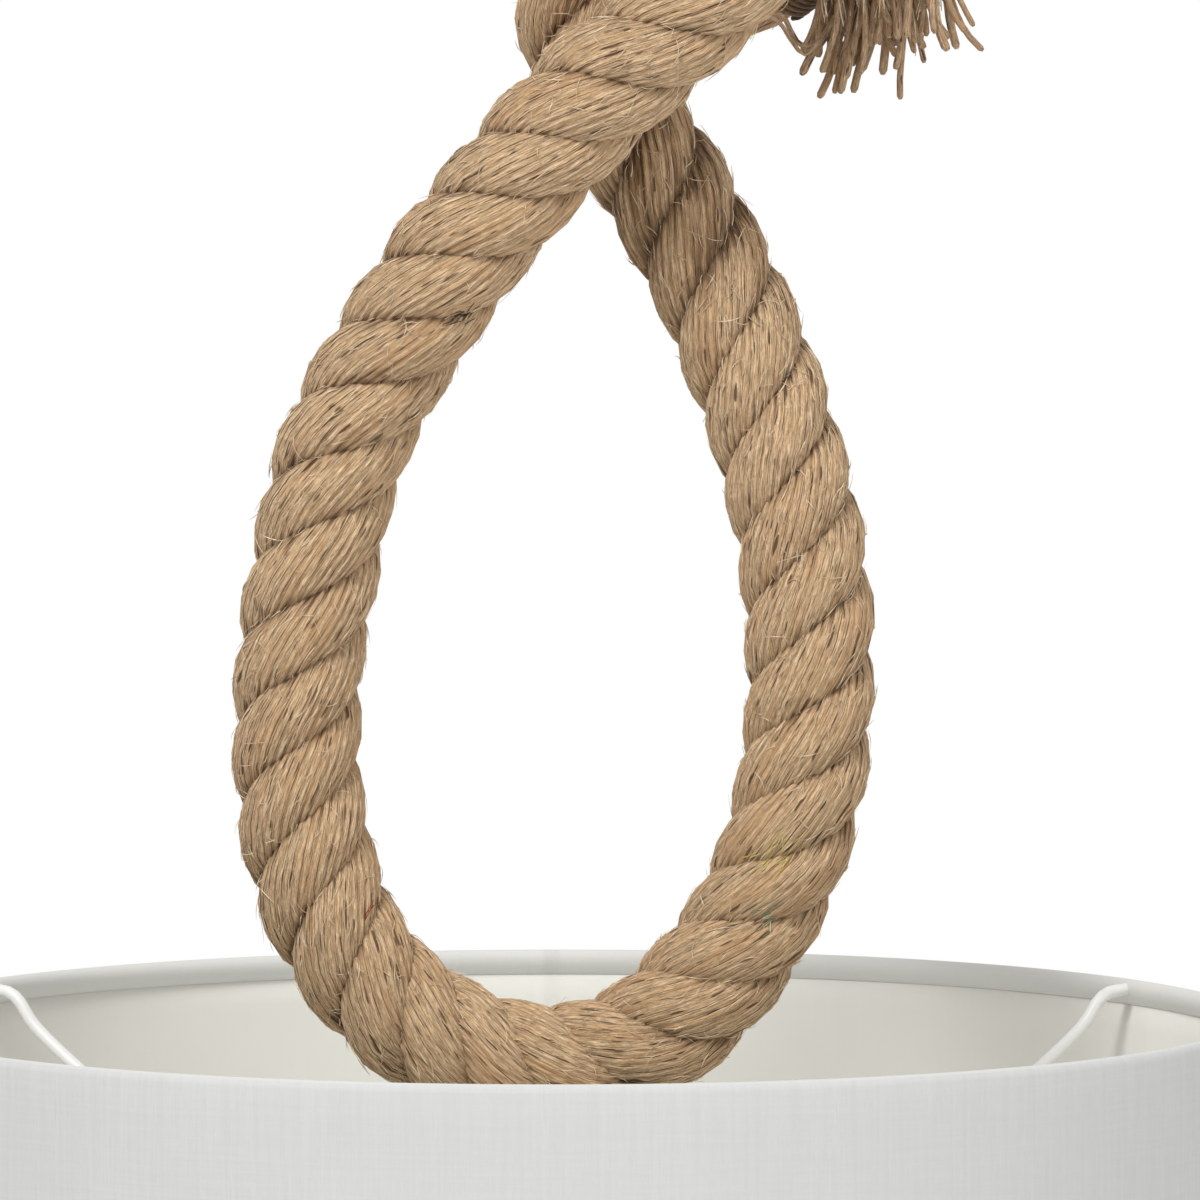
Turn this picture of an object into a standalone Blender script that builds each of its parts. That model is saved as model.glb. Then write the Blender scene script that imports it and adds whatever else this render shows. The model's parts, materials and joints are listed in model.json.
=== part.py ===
"""Hanging lantern: a fabric drum shade carried by a loop of thick laid rope, which hangs
from a ceiling plate by a hook, a bow shackle and a swivel eye.

The origin is the middle of the ceiling plate's top face. +Z is up, the loop of rope lies
in the XZ plane, and the front of the lantern faces -Y. Everything is in metres.
"""

import math

import bmesh
import bpy
from mathutils import Matrix, Vector

# ---------------------------------------------------------------- driving dimensions
GAP = 0.0003              # clearance between pieces that touch
BORE_PLAY = 0.0003        # radial clearance of a pin in its bore

PLATE_RADIUS = 0.050
PLATE_THICK = 0.004
PLATE_SCREW_COUNT = 3
PLATE_SCREW_CIRCLE = 0.036
PLATE_SCREW_RADIUS = 0.0022
BOSS_RADIUS = 0.012
BOSS_DEPTH = 0.014

HOOK_WIRE = 0.0035
HOOK_BEND = 0.0125        # radius of the hook's bend, to the middle of the wire
HOOK_SHANK = 0.018        # straight shank under its nut
HOOK_MOUTH = 25           # degrees the tip rises past the bend's half turn
HOOK_NUT_HEIGHT = 0.005

BOW_WIRE = 0.003
BOW_BEND = 0.0105
BOW_LEG = 0.024
EAR_RADIUS = 0.0078
PIN_RADIUS = 0.004
SHACKLE_NUT_HEIGHT = 0.005

EYE_RADIUS = 0.010
EYE_THICK = 0.009
STEM_RADIUS = 0.004
STEM_LENGTH = 0.012       # from the eye down to the rope cap
SWIVEL_NUT_HEIGHT = 0.0065

ROPE_RADIUS = 0.0195
CAP_WALL = 0.004
CAP_TOP = 0.006
CAP_DEPTH = 0.036         # how far the rope goes into its cap
CAP_SCREW_COUNT = 2
CAP_SCREW_RADIUS = 0.0025
WASHER_THICK = 0.0015

WHIPPING_LENGTH = 0.012
WHIPPING_THICK = 0.0018
WHIPPING_FROM_END = 0.0096

SADDLE_HALF_LENGTH = 0.023
SADDLE_WALL = 0.0025
SADDLE_HALF_ANGLE = 48    # degrees each side of straight down
SADDLE_SCREW_AT = 0.015   # either way along the rope
SADDLE_SCREW_ANGLE = 27
SADDLE_SCREW_RADIUS = 0.0018
SADDLE_BOSS_RADIUS = 0.010
SADDLE_BOSS_DEPTH = 0.010

NIPPLE_RADIUS = 0.005
NIPPLE_BORE = 0.0034
LOCKNUT_HEIGHT = 0.004
HOLDER_RADIUS = 0.0195
HOLDER_WALL = 0.0025
HOLDER_CAP_HEIGHT = 0.028
HOLDER_FLANGE_RADIUS = 0.0240
HOLDER_FLANGE_HEIGHT = 0.006
HOLDER_SKIRT = 0.030
HUB_RADIUS = 0.034
HUB_THICK = 0.0016
RING_RADIUS = 0.0265
RING_HEIGHT = 0.010
RING_RIBS = 12
GLAND_RADIUS = 0.0045
GLAND_BORE = 0.0028
SHELL_PLAY = 0.0005       # between the lamp cap and the threaded shell
SHELL_THICK = 0.0006

LAMP_CAP_RADIUS = 0.0131
LAMP_CAP_HEIGHT = 0.024
LAMP_CAP_TURNS = 4
LAMP_CAP_PITCH = 0.0045
CONTACT_RADIUS = 0.0045
CONTACT_HEIGHT = 0.0018
LAMP_DEPTH = 0.0215       # how far the lamp reaches into the holder
GLASS_WALL = 0.001
LAMP_RADIUS = 0.030
LAMP_LENGTH = 0.080       # of the glass

SHADE_RADIUS = 0.210
SHADE_HEIGHT = 0.250
SHADE_SIDES = 48
FABRIC_THICK = 0.0008
LINER_THICK = 0.0008
HEM_DEPTH = 0.0055
RIM_WIRE = 0.0015
SPIDER_ARMS = 3
SPIDER_WIRE = 0.002
SEAM_WIDTH = 0.010

# The rope's route, in millimetres from the middle of the shade's top edge: down from the cap,
# round the loop, across the front of itself, and round itself into the tail.
ROPE_ROUTE = [
    (0, 0, 513), (0, 0, 455), (1, 0, 400), (3, 4, 346), (7, 10, 300), (15, 12, 275),
    (30, 13, 252), (47, 11, 220), (62, 8, 184), (72, 5, 148), (76, 3, 112), (75, 2, 80),
    (69, 0, 51), (57, 0, 25), (40, 0, 3), (21, 0, -12), (0, 0, -17), (-24, 0, -13),
    (-49, -1, 2), (-67, -2, 26), (-76, -3, 55), (-78, -4, 88), (-75, -7, 121),
    (-63, -11, 172), (-36, -19, 219), (-10, -26, 252), (11, -30, 275), (32, -33, 294),
    (51, -36, 313), (63, -39, 334), (66, -42, 360), (55, -45, 387), (30, -46, 403),
    (-4, -43, 403), (-32, -30, 392), (-45, 0, 377), (-42, 31, 357), (-20, 50, 335),
    (12, 53, 315), (41, 45, 309), (60, 35, 316), (72, 28, 326),
]
MM = 0.001
ROPE_POINTS = 74

FRAY_LENGTH = 0.078
FRAY_BEND = 0.018         # radius of its fall, to the middle
FRAY_LEAD = 0.004         # straight before it falls
FRAY_FALL = -80           # degrees from level at which it ends

ALL = bpy.data.collections.new("hanging_lantern")
CUTTERS = bpy.data.collections.new("cutters")


# ---------------------------------------------------------------- tools
def clear_scene():
    for obj in list(bpy.data.objects):
        bpy.data.objects.remove(obj)
    bpy.context.scene.collection.children.link(ALL)
    bpy.context.scene.collection.children.link(CUTTERS)
    CUTTERS.hide_render = True


def material(name, colour, roughness, metallic=0.0):
    made = bpy.data.materials.new(name)
    made.use_nodes = True
    shader = made.node_tree.nodes["Principled BSDF"]
    shader.inputs["Base Color"].default_value = (*colour, 1)
    shader.inputs["Roughness"].default_value = roughness
    shader.inputs["Metallic"].default_value = metallic
    return made


def add(name, data, finish):
    obj = bpy.data.objects.new(name, data)
    data.materials.append(finish)
    ALL.objects.link(obj)
    return obj


def add_mesh(name, shape, finish):
    mesh = bpy.data.meshes.new(name)
    shape.to_mesh(mesh)
    shape.free()
    mesh.shade_smooth()
    mesh.set_sharp_from_angle(angle=math.radians(35))
    return add(name, mesh, finish)


def turned(name, profile, finish, steps=32, closed=False):
    """A profile of (radius, height) points that runs down its outer side, turned about Z."""
    shape = bmesh.new()
    points = [shape.verts.new((radius, 0, height)) for radius, height in profile]
    for first, second in zip(points, points[1:] + points[:1] if closed else points[1:]):
        shape.edges.new((first, second))
    obj = add_mesh(name, shape, finish)
    screw = obj.modifiers.new("turn", "SCREW")
    screw.steps = screw.render_steps = steps
    screw.use_merge_vertices = True
    screw.merge_threshold = 1e-6
    return obj


def washer(name, inner, outer, top, bottom, finish, steps=32):
    profile = [(inner, top), (outer, top), (outer, bottom), (inner, bottom)]
    return turned(name, profile, finish, steps, closed=True)


def cylinder(name, start, end, radius, finish, sides=20):
    """A cylinder between two points."""
    start, end = Vector(start), Vector(end)
    shape = bmesh.new()
    bmesh.ops.create_cone(shape, cap_ends=True, segments=sides, radius1=radius, radius2=radius,
                          depth=(end - start).length)
    turn = Vector((0, 0, 1)).rotation_difference(end - start).to_matrix().to_4x4()
    shape.transform(Matrix.Translation((start + end) / 2) @ turn)
    return add_mesh(name, shape, finish)


def box(name, low, high, finish):
    low, high = Vector(low), Vector(high)
    shape = bmesh.new()
    bmesh.ops.create_cube(shape, size=1)
    shape.transform(Matrix.Translation((low + high) / 2) @ Matrix.Diagonal((*(high - low), 1)))
    return add_mesh(name, shape, finish)


def wire(name, points, radius, finish, roundness=3, cyclic=False, radii=None):
    """A round wire along points."""
    data = bpy.data.curves.new(name, "CURVE")
    data.dimensions = "3D"
    line = data.splines.new("POLY")
    line.points.add(len(points) - 1)
    for index, point in enumerate(points):
        line.points[index].co = (*point, 1)
        line.points[index].radius = radii[index] if radii else 1
    line.use_cyclic_u = cyclic
    line.use_smooth = True
    data.bevel_depth = radius
    data.bevel_resolution = roundness
    data.use_fill_caps = True
    return add(name, data, finish)


def as_mesh(obj):
    """The same object with its curve made a welded mesh, so that it can be cut and joined."""
    bpy.context.view_layer.update()
    mesh = bpy.data.meshes.new_from_object(obj.evaluated_get(bpy.context.evaluated_depsgraph_get()))
    shape = bmesh.new()
    shape.from_mesh(mesh)
    bmesh.ops.remove_doubles(shape, verts=shape.verts, dist=1e-6)
    shape.to_mesh(mesh)
    shape.free()
    name, place = obj.name, obj.matrix_world.copy()
    bpy.data.objects.remove(obj)
    made = bpy.data.objects.new(name, mesh)
    made.matrix_world = place
    ALL.objects.link(made)
    return made


def boolean(obj, other, operation):
    ALL.objects.unlink(other)
    CUTTERS.objects.link(other)
    other.hide_render = True
    other.display_type = "WIRE"
    change = obj.modifiers.new(operation.lower(), "BOOLEAN")
    change.operation = operation
    change.object = other


def cut(obj, *others):
    for other in others:
        boolean(obj, other, "DIFFERENCE")


def join(obj, *others):
    for other in others:
        boolean(obj, other, "UNION")


def nut(name, height, across, bore, top, finish):
    """A hexagon nut on the Z axis, with its top face at the given height."""
    shape = bmesh.new()
    bmesh.ops.create_cone(shape, cap_ends=True, segments=6, radius1=across / math.sqrt(3),
                          radius2=across / math.sqrt(3), depth=height)
    shape.transform(Matrix.Translation((0, 0, top - height / 2)))
    obj = add_mesh(name, shape, finish)
    cut(obj, cylinder(name + "_bore", (0, 0, top + 0.01), (0, 0, top - height - 0.01), bore, finish))
    return obj


def around(radius, degrees, height):
    angle = math.radians(degrees)
    return Vector((radius * math.cos(angle), radius * math.sin(angle), height))


def smooth_line(points, count):
    """Evenly spaced points along a smooth curve through the given points."""
    ends = [2 * points[0] - points[1]] + points + [2 * points[-1] - points[-2]]
    fine = []
    steps = 24
    for a, b, c, d in zip(ends, ends[1:], ends[2:], ends[3:]):
        for step in range(steps):
            t = step / steps
            fine.append(0.5 * (2 * b + (c - a) * t + (2 * a - 5 * b + 4 * c - d) * t ** 2
                               + (3 * b - a - 3 * c + d) * t ** 3))
    fine.append(points[-1])
    lengths = [0.0]
    for first, second in zip(fine, fine[1:]):
        lengths.append(lengths[-1] + (second - first).length)
    line = []
    at = 0
    for index in range(count):
        wanted = lengths[-1] * index / (count - 1)
        while at < len(fine) - 2 and lengths[at + 1] < wanted:
            at += 1
        share = (wanted - lengths[at]) / (lengths[at + 1] - lengths[at])
        line.append(fine[at].lerp(fine[at + 1], share))
    return line


# ---------------------------------------------------------------- heights, from the ceiling down
boss_bottom = -PLATE_THICK - BOSS_DEPTH
shank_end = boss_bottom - GAP - HOOK_NUT_HEIGHT - HOOK_SHANK
hook_centre = shank_end - 1.6 * HOOK_BEND
hook_low = hook_centre - HOOK_BEND
bow_top = hook_low + HOOK_WIRE + BOW_WIRE + GAP
pin_height = bow_top - BOW_BEND - BOW_LEG
ear_thick = 2 * BOW_WIRE + 0.0006
cap_top = pin_height - EYE_RADIUS - STEM_LENGTH
washer_top = cap_top - CAP_TOP - GAP
swivel_nut_top = washer_top - WASHER_THICK - GAP
stem_end = swivel_nut_top - SWIVEL_NUT_HEIGHT - 0.0015
rope_top = stem_end - 0.004
cap_bottom = rope_top - CAP_DEPTH
rim = rope_top - ROPE_ROUTE[0][2] * MM

rope_line = smooth_line([Vector((x * MM, y * MM, z * MM + rim)) for x, y, z in ROPE_ROUTE], ROPE_POINTS)
loop_bottom = smooth_line([p for p in rope_line if abs(p.x) < 0.06 and p.z < rim + 0.03], 61)

saddle_outer = ROPE_RADIUS + GAP + SADDLE_WALL
saddle_bottom = min(p.z for p in loop_bottom) - saddle_outer
saddle_boss_bottom = saddle_bottom - SADDLE_BOSS_DEPTH
locknut_top = saddle_boss_bottom - GAP
holder_top = locknut_top - LOCKNUT_HEIGHT - GAP
holder_cap_bottom = holder_top - HOLDER_CAP_HEIGHT
body_top = holder_cap_bottom - GAP
flange_bottom = body_top - HOLDER_FLANGE_HEIGHT
body_bottom = flange_bottom - HOLDER_SKIRT
hub_top = flange_bottom - GAP
hub_bottom = hub_top - HUB_THICK
ring_top = hub_bottom - GAP
lamp_top = body_bottom + LAMP_DEPTH
shade_bottom = rim - SHADE_HEIGHT

shell_bore = LAMP_CAP_RADIUS + SHELL_PLAY
body_bore = shell_bore + SHELL_THICK + GAP


# ---------------------------------------------------------------- pieces
def ceiling_fitting(steel):
    """The plate with its boss, the open hook with its nut, and the plate's screws."""
    blind = -PLATE_THICK / 2 - 0.001
    plate = turned("ceiling_plate", [
        (0, 0), (PLATE_RADIUS, 0), (PLATE_RADIUS, -PLATE_THICK * 0.6),
        (PLATE_RADIUS - PLATE_THICK * 0.4, -PLATE_THICK), (BOSS_RADIUS + 0.002, -PLATE_THICK),
        (BOSS_RADIUS, -PLATE_THICK - 0.002), (BOSS_RADIUS, boss_bottom + 0.001),
        (BOSS_RADIUS - 0.001, boss_bottom), (HOOK_WIRE + BORE_PLAY, boss_bottom),
        (HOOK_WIRE + BORE_PLAY, blind), (0, blind)], steel, 32)
    for index in range(PLATE_SCREW_COUNT):
        at = around(PLATE_SCREW_CIRCLE, 90 + index * 360 / PLATE_SCREW_COUNT, 0)
        cut(plate, cylinder(f"plate_hole_{index + 1}", at + Vector((0, 0, 0.01)),
                            at - Vector((0, 0, 0.01)), PLATE_SCREW_RADIUS + BORE_PLAY, steel, 16))
        head_top = -PLATE_THICK - GAP
        screw = turned(f"plate_screw_{index + 1}", [
            (0, -GAP), (PLATE_SCREW_RADIUS, -GAP), (PLATE_SCREW_RADIUS, head_top),
            (0.0045, head_top), (0.0043, head_top - 0.0016), (0.0025, head_top - 0.0026),
            (0, head_top - 0.0028)], steel, 16)
        screw.location = at
    reach = [Vector((0, 0, blind - 0.0006)), Vector((0, 0, shank_end))]
    lead = [Vector((0, HOOK_BEND * (1 - math.cos(math.pi * t)) / 2,
                    shank_end + (hook_centre - shank_end) * t)) for t in (0.25, 0.5, 0.75, 0.92)]
    turn = 180 + HOOK_MOUTH
    bend = [Vector((0, HOOK_BEND * math.cos(a), hook_centre - HOOK_BEND * math.sin(a)))
            for a in (math.radians(degrees) for degrees in range(0, turn + 1, turn // 12))]
    wire("ceiling_hook", reach + lead + bend, HOOK_WIRE, steel, 2)
    nut("hook_nut", HOOK_NUT_HEIGHT, 0.013, HOOK_WIRE + BORE_PLAY, boss_bottom - GAP, steel)


def shackle(steel):
    """The bow hangs on the hook's bend, and its pin carries the eye."""
    middle = bow_top - BOW_BEND
    half = [Vector((BOW_BEND * math.cos(a), 0, middle + BOW_BEND * math.sin(a)))
            for a in (math.radians(d) for d in range(0, 181, 20))]
    legs = [Vector((BOW_BEND, 0, pin_height))] + half + [Vector((-BOW_BEND, 0, pin_height))]
    bow = as_mesh(wire("shackle_bow", legs, BOW_WIRE, steel, 2))
    reach = BOW_BEND + ear_thick
    for side in (-1, 1):
        join(bow, cylinder(f"shackle_ear_{side + 2}", (side * (BOW_BEND - ear_thick / 2), 0, pin_height),
                           (side * (BOW_BEND + ear_thick / 2), 0, pin_height), EAR_RADIUS, steel))
    cut(bow, cylinder("shackle_bore", (-reach * 2, 0, pin_height), (reach * 2, 0, pin_height),
                      PIN_RADIUS + BORE_PLAY, steel))
    outside = BOW_BEND + ear_thick / 2 + GAP
    pin = turned("shackle_pin", [
        (0, outside + 0.004), (0.0055, outside + 0.004), (0.0062, outside + 0.003), (0.0062, outside),
        (PIN_RADIUS, outside), (PIN_RADIUS, -outside - 0.006), (PIN_RADIUS - 0.0006, -outside - 0.0066),
        (0, -outside - 0.0066)], steel, 24)
    pin.location = (0, 0, pin_height)
    pin.rotation_euler = (0, math.pi / 2, 0)
    holder = nut("shackle_nut", SHACKLE_NUT_HEIGHT, 0.012, PIN_RADIUS + BORE_PLAY, 0, steel)
    for piece in (holder, bpy.data.objects["shackle_nut_bore"]):
        piece.location = (-outside, 0, pin_height)
        piece.rotation_euler = (0, math.pi / 2, 0)


def swivel_eye(steel):
    """The eye turns on the shackle's pin, and its stem turns in the rope's cap."""
    eye = cylinder("swivel_eye", (-EYE_THICK / 2, 0, pin_height), (EYE_THICK / 2, 0, pin_height),
                   EYE_RADIUS, steel, 32)
    join(eye, cylinder("eye_stem", (0, 0, pin_height - EYE_RADIUS * 0.7), (0, 0, stem_end),
                       STEM_RADIUS, steel))
    cut(eye, cylinder("eye_bore", (-EYE_THICK, 0, pin_height), (EYE_THICK, 0, pin_height),
                      PIN_RADIUS + BORE_PLAY, steel))
    washer("swivel_washer", STEM_RADIUS + BORE_PLAY, 0.010, washer_top,
           washer_top - WASHER_THICK, steel, 24)
    nut("swivel_nut", SWIVEL_NUT_HEIGHT, 0.013, STEM_RADIUS + BORE_PLAY, swivel_nut_top, steel)


def rope_cap(steel):
    """A turned cup that takes the rope's end, held by grub screws."""
    inner = ROPE_RADIUS + 2 * GAP
    outer = inner + CAP_WALL
    stem_hole = STEM_RADIUS + BORE_PLAY
    cap = turned("rope_cap", [
        (stem_hole, cap_top), (outer * 0.45, cap_top), (outer * 0.86, cap_top - 0.004),
        (outer, cap_top - 0.011), (outer, cap_bottom + 0.005), (outer + 0.0015, cap_bottom + 0.0035),
        (outer + 0.0015, cap_bottom + 0.001), (outer + 0.0005, cap_bottom), (inner, cap_bottom),
        (inner, cap_top - 0.011), (outer * 0.6, cap_top - CAP_TOP), (stem_hole, cap_top - CAP_TOP)],
        steel, 28, closed=True)
    height = cap_bottom + 0.015
    for index in range(CAP_SCREW_COUNT):
        away = around(1, index * 360 / CAP_SCREW_COUNT, 0)
        middle = Vector((0, 0, height))
        cut(cap, cylinder(f"cap_screw_hole_{index + 1}", middle + away * inner * 0.9,
                          middle + away * outer * 1.2, CAP_SCREW_RADIUS + BORE_PLAY, steel, 16))
        screw = cylinder(f"cap_screw_{index + 1}", middle + away * (inner + 0.0002),
                         middle + away * (outer - 0.0006), CAP_SCREW_RADIUS, steel, 16)
        cut(screw, cylinder(f"cap_screw_socket_{index + 1}", middle + away * (outer - 0.0022),
                            middle + away * (outer + 0.002), CAP_SCREW_RADIUS * 0.55, steel, 6))


def rope(jute, twine):
    """The rope as one plain tube, the binding at its tail, and the frayed end."""
    wire("rope", rope_line, ROPE_RADIUS, jute, 4)
    end = rope_line[-1]
    step = (rope_line[-1] - rope_line[-2]).length
    first = ROPE_POINTS - 1 - round(WHIPPING_FROM_END / step)
    middle = (rope_line[first] + rope_line[first - 1]) / 2
    along = (rope_line[first] - rope_line[first - 1]).normalized()
    half = along * WHIPPING_LENGTH / 2
    inner = ROPE_RADIUS + 3 * GAP
    whipping = cylinder("tail_whipping", middle - half, middle + half, inner + WHIPPING_THICK, twine, 24)
    cut(whipping, cylinder("whipping_bore", middle - half * 2, middle + half * 2, inner, twine, 24))
    away = (rope_line[-1] - rope_line[-2]).normalized()
    flat = Vector((away.x, away.y, 0)).normalized()
    up = Vector((0, 0, 1))
    rise = math.asin(away.z)
    fall = math.radians(FRAY_FALL)
    hub = end + away * FRAY_LEAD + FRAY_BEND * (flat * math.sin(rise) - up * math.cos(rise))
    droop = [end + away * GAP, end + away * FRAY_LEAD]
    widths = [0.85, 0.85]
    steps = 6
    for index in range(1, steps + 1):
        angle = rise + (fall - rise) * index / steps
        droop.append(hub - FRAY_BEND * (flat * math.sin(angle) - up * math.cos(angle)))
        widths.append(0.85)
    down = flat * math.cos(fall) + up * math.sin(fall)
    rest = FRAY_LENGTH - FRAY_LEAD - FRAY_BEND * (rise - fall)
    for share, width in ((0.4, 1.0), (0.8, 1.1), (1, 0.8)):
        droop.append(droop[1 + steps] + down * rest * share)
        widths.append(width)
    widths = [ROPE_RADIUS * width for width in widths]
    wire("frayed_tail", droop, 1.0, jute, 4, radii=widths)


def saddle(steel):
    """A gutter under the bottom of the loop, with screws up into the rope and a boss below."""
    fine = [(a, (c - b).normalized()) for a, b, c in zip(loop_bottom[1:], loop_bottom, loop_bottom[2:])
            if abs(a.x) <= SADDLE_HALF_LENGTH]
    side = Vector((0, 1, 0))
    radius = ROPE_RADIUS + GAP
    shape = bmesh.new()
    rows = []
    angles = [math.radians(SADDLE_HALF_ANGLE * t / 4) for t in range(-4, 5)]
    picked = fine[::max(1, len(fine) // 8)]
    if picked[-1] is not fine[-1]:
        picked.append(fine[-1])
    for point, along in picked:
        down = along.cross(side)
        down = -down if down.z > 0 else down
        rows.append([shape.verts.new(point + radius * (down * math.cos(a) + side * math.sin(a)))
                     for a in angles])
    for low, high in zip(rows, rows[1:]):
        for a, b, c, d in zip(low, low[1:], high[1:], high):
            shape.faces.new((a, b, c, d))
    bmesh.ops.recalc_face_normals(shape, faces=shape.faces)
    shape.faces.ensure_lookup_table()
    if shape.faces[len(shape.faces) // 2].normal.z > 0:
        bmesh.ops.reverse_faces(shape, faces=shape.faces)
    gutter = add_mesh("rope_saddle", shape, steel)
    wall = gutter.modifiers.new("wall", "SOLIDIFY")
    wall.thickness = SADDLE_WALL
    wall.offset = 1
    boss = cylinder("saddle_boss", (0, 0, saddle_bottom + SADDLE_WALL * 0.6),
                    (0, 0, saddle_boss_bottom), SADDLE_BOSS_RADIUS, steel, 28)
    join(gutter, boss)
    cut(gutter, cylinder("saddle_thread", (0, 0, saddle_bottom - 0.0005),
                         (0, 0, saddle_boss_bottom - 0.01), NIPPLE_RADIUS + BORE_PLAY, steel))
    index = 0
    for across in (-1, 1):
        point, along = min(fine, key=lambda item: abs(item[0].x - across * SADDLE_SCREW_AT))
        down = along.cross(side)
        down = -down if down.z > 0 else down
        for tilt in (-1, 1):
            index += 1
            angle = math.radians(SADDLE_SCREW_ANGLE * tilt)
            out = (down * math.cos(angle) + side * math.sin(angle)).normalized()
            cut(gutter, cylinder(f"saddle_screw_hole_{index}", point + out * radius * 0.9,
                                 point + out * (saddle_outer + 0.004),
                                 SADDLE_SCREW_RADIUS + BORE_PLAY, steel, 16))
            under = radius - saddle_outer - GAP - 0.0003
            screw = turned(f"saddle_screw_{index}", [
                (0, 0), (SADDLE_SCREW_RADIUS, 0), (SADDLE_SCREW_RADIUS, under),
                (0.0038, under), (0.0038, under - 0.0012), (0.0022, under - 0.0022),
                (0, under - 0.0024)], steel, 16)
            screw.location = point + out * (radius + 0.0002)
            screw.rotation_euler = Vector((0, 0, -1)).rotation_difference(out).to_euler()


def lampholder(steel, plastic, brass, ceramic):
    """Nipple and locknut, the holder's cap and body, its inside, and the cord inlet."""
    nipple_top = saddle_bottom - 0.0011
    nipple_bottom = holder_top - 0.012
    washer("hanger_nipple", NIPPLE_BORE, NIPPLE_RADIUS, nipple_top, nipple_bottom, brass, 20)
    nut("hanger_locknut", LOCKNUT_HEIGHT, 0.016, NIPPLE_RADIUS + BORE_PLAY, locknut_top, steel)
    inner = HOLDER_RADIUS - HOLDER_WALL
    bore = NIPPLE_RADIUS + BORE_PLAY
    cap = turned("holder_cap", [
        (bore, holder_top), (0.0105, holder_top), (0.0105, holder_top - 0.004),
        (0.0150, holder_top - 0.008), (HOLDER_RADIUS, holder_top - 0.014),
        (HOLDER_RADIUS, holder_cap_bottom), (inner, holder_cap_bottom), (inner, holder_top - 0.015),
        (0.0130, holder_top - 0.0108), (bore, holder_top - 0.009)], plastic, 28, closed=True)
    gland_height = holder_top - 0.0205
    hole = cylinder("gland_hole", (0, inner * 0.8, gland_height),
                    (0, HOLDER_RADIUS * 1.3, gland_height), GLAND_RADIUS + BORE_PLAY, plastic)
    cut(cap, hole)
    gland = turned("cord_inlet", [
        (GLAND_BORE, 0.0045), (GLAND_RADIUS + 0.0007, 0.0045), (GLAND_RADIUS + 0.0013, 0.003),
        (GLAND_RADIUS + 0.0013, 2 * GAP), (GLAND_RADIUS, 2 * GAP), (GLAND_RADIUS, -0.0035),
        (GLAND_BORE, -0.0035)], plastic, 16, closed=True)
    gland.location = (0, HOLDER_RADIUS, gland_height)
    gland.rotation_euler = (-math.pi / 2, 0, 0)
    block_top = holder_cap_bottom + 0.0085
    block_bottom = lamp_top + 0.0045
    turned("terminal_block", [
        (0, block_top), (inner - 0.0012, block_top), (inner - 0.0012, body_top + GAP),
        (body_bore - GAP, body_top + GAP), (body_bore - GAP, block_bottom), (0, block_bottom)],
        ceramic, 24)
    turned("centre_contact", [
        (0, block_bottom - GAP), (0.0035, block_bottom - GAP), (0.0035, block_bottom - 0.0012),
        (0.0020, lamp_top + GAP), (0, lamp_top + GAP)], brass, 20)
    turned("holder_body", [
        (body_bore, body_top), (HOLDER_FLANGE_RADIUS - 0.001, body_top),
        (HOLDER_FLANGE_RADIUS, body_top - 0.001), (HOLDER_FLANGE_RADIUS, flange_bottom),
        (HOLDER_RADIUS, flange_bottom), (HOLDER_RADIUS, body_bottom + 0.001),
        (HOLDER_RADIUS - 0.001, body_bottom), (body_bore, body_bottom)], plastic, 28, closed=True)
    washer("threaded_shell", shell_bore, shell_bore + SHELL_THICK, block_bottom - 0.001,
           body_bottom + 0.002, brass, 28)
    ring_low = ring_top - RING_HEIGHT
    ring = turned("shade_ring", [
        (HOLDER_RADIUS + GAP, ring_top), (RING_RADIUS, ring_top), (RING_RADIUS, ring_low + 0.001),
        (RING_RADIUS - 0.001, ring_low), (HOLDER_RADIUS + GAP, ring_low)], plastic, 36, closed=True)
    for index in range(RING_RIBS):
        at = around(RING_RADIUS + 0.0006, index * 360 / RING_RIBS, 0)
        groove = cylinder(f"ring_groove_{index + 1}", at + Vector((0, 0, ring_top - 0.0015)),
                          at + Vector((0, 0, ring_low - 0.002)), 0.0011, plastic, 6)
        cut(ring, groove)


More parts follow.
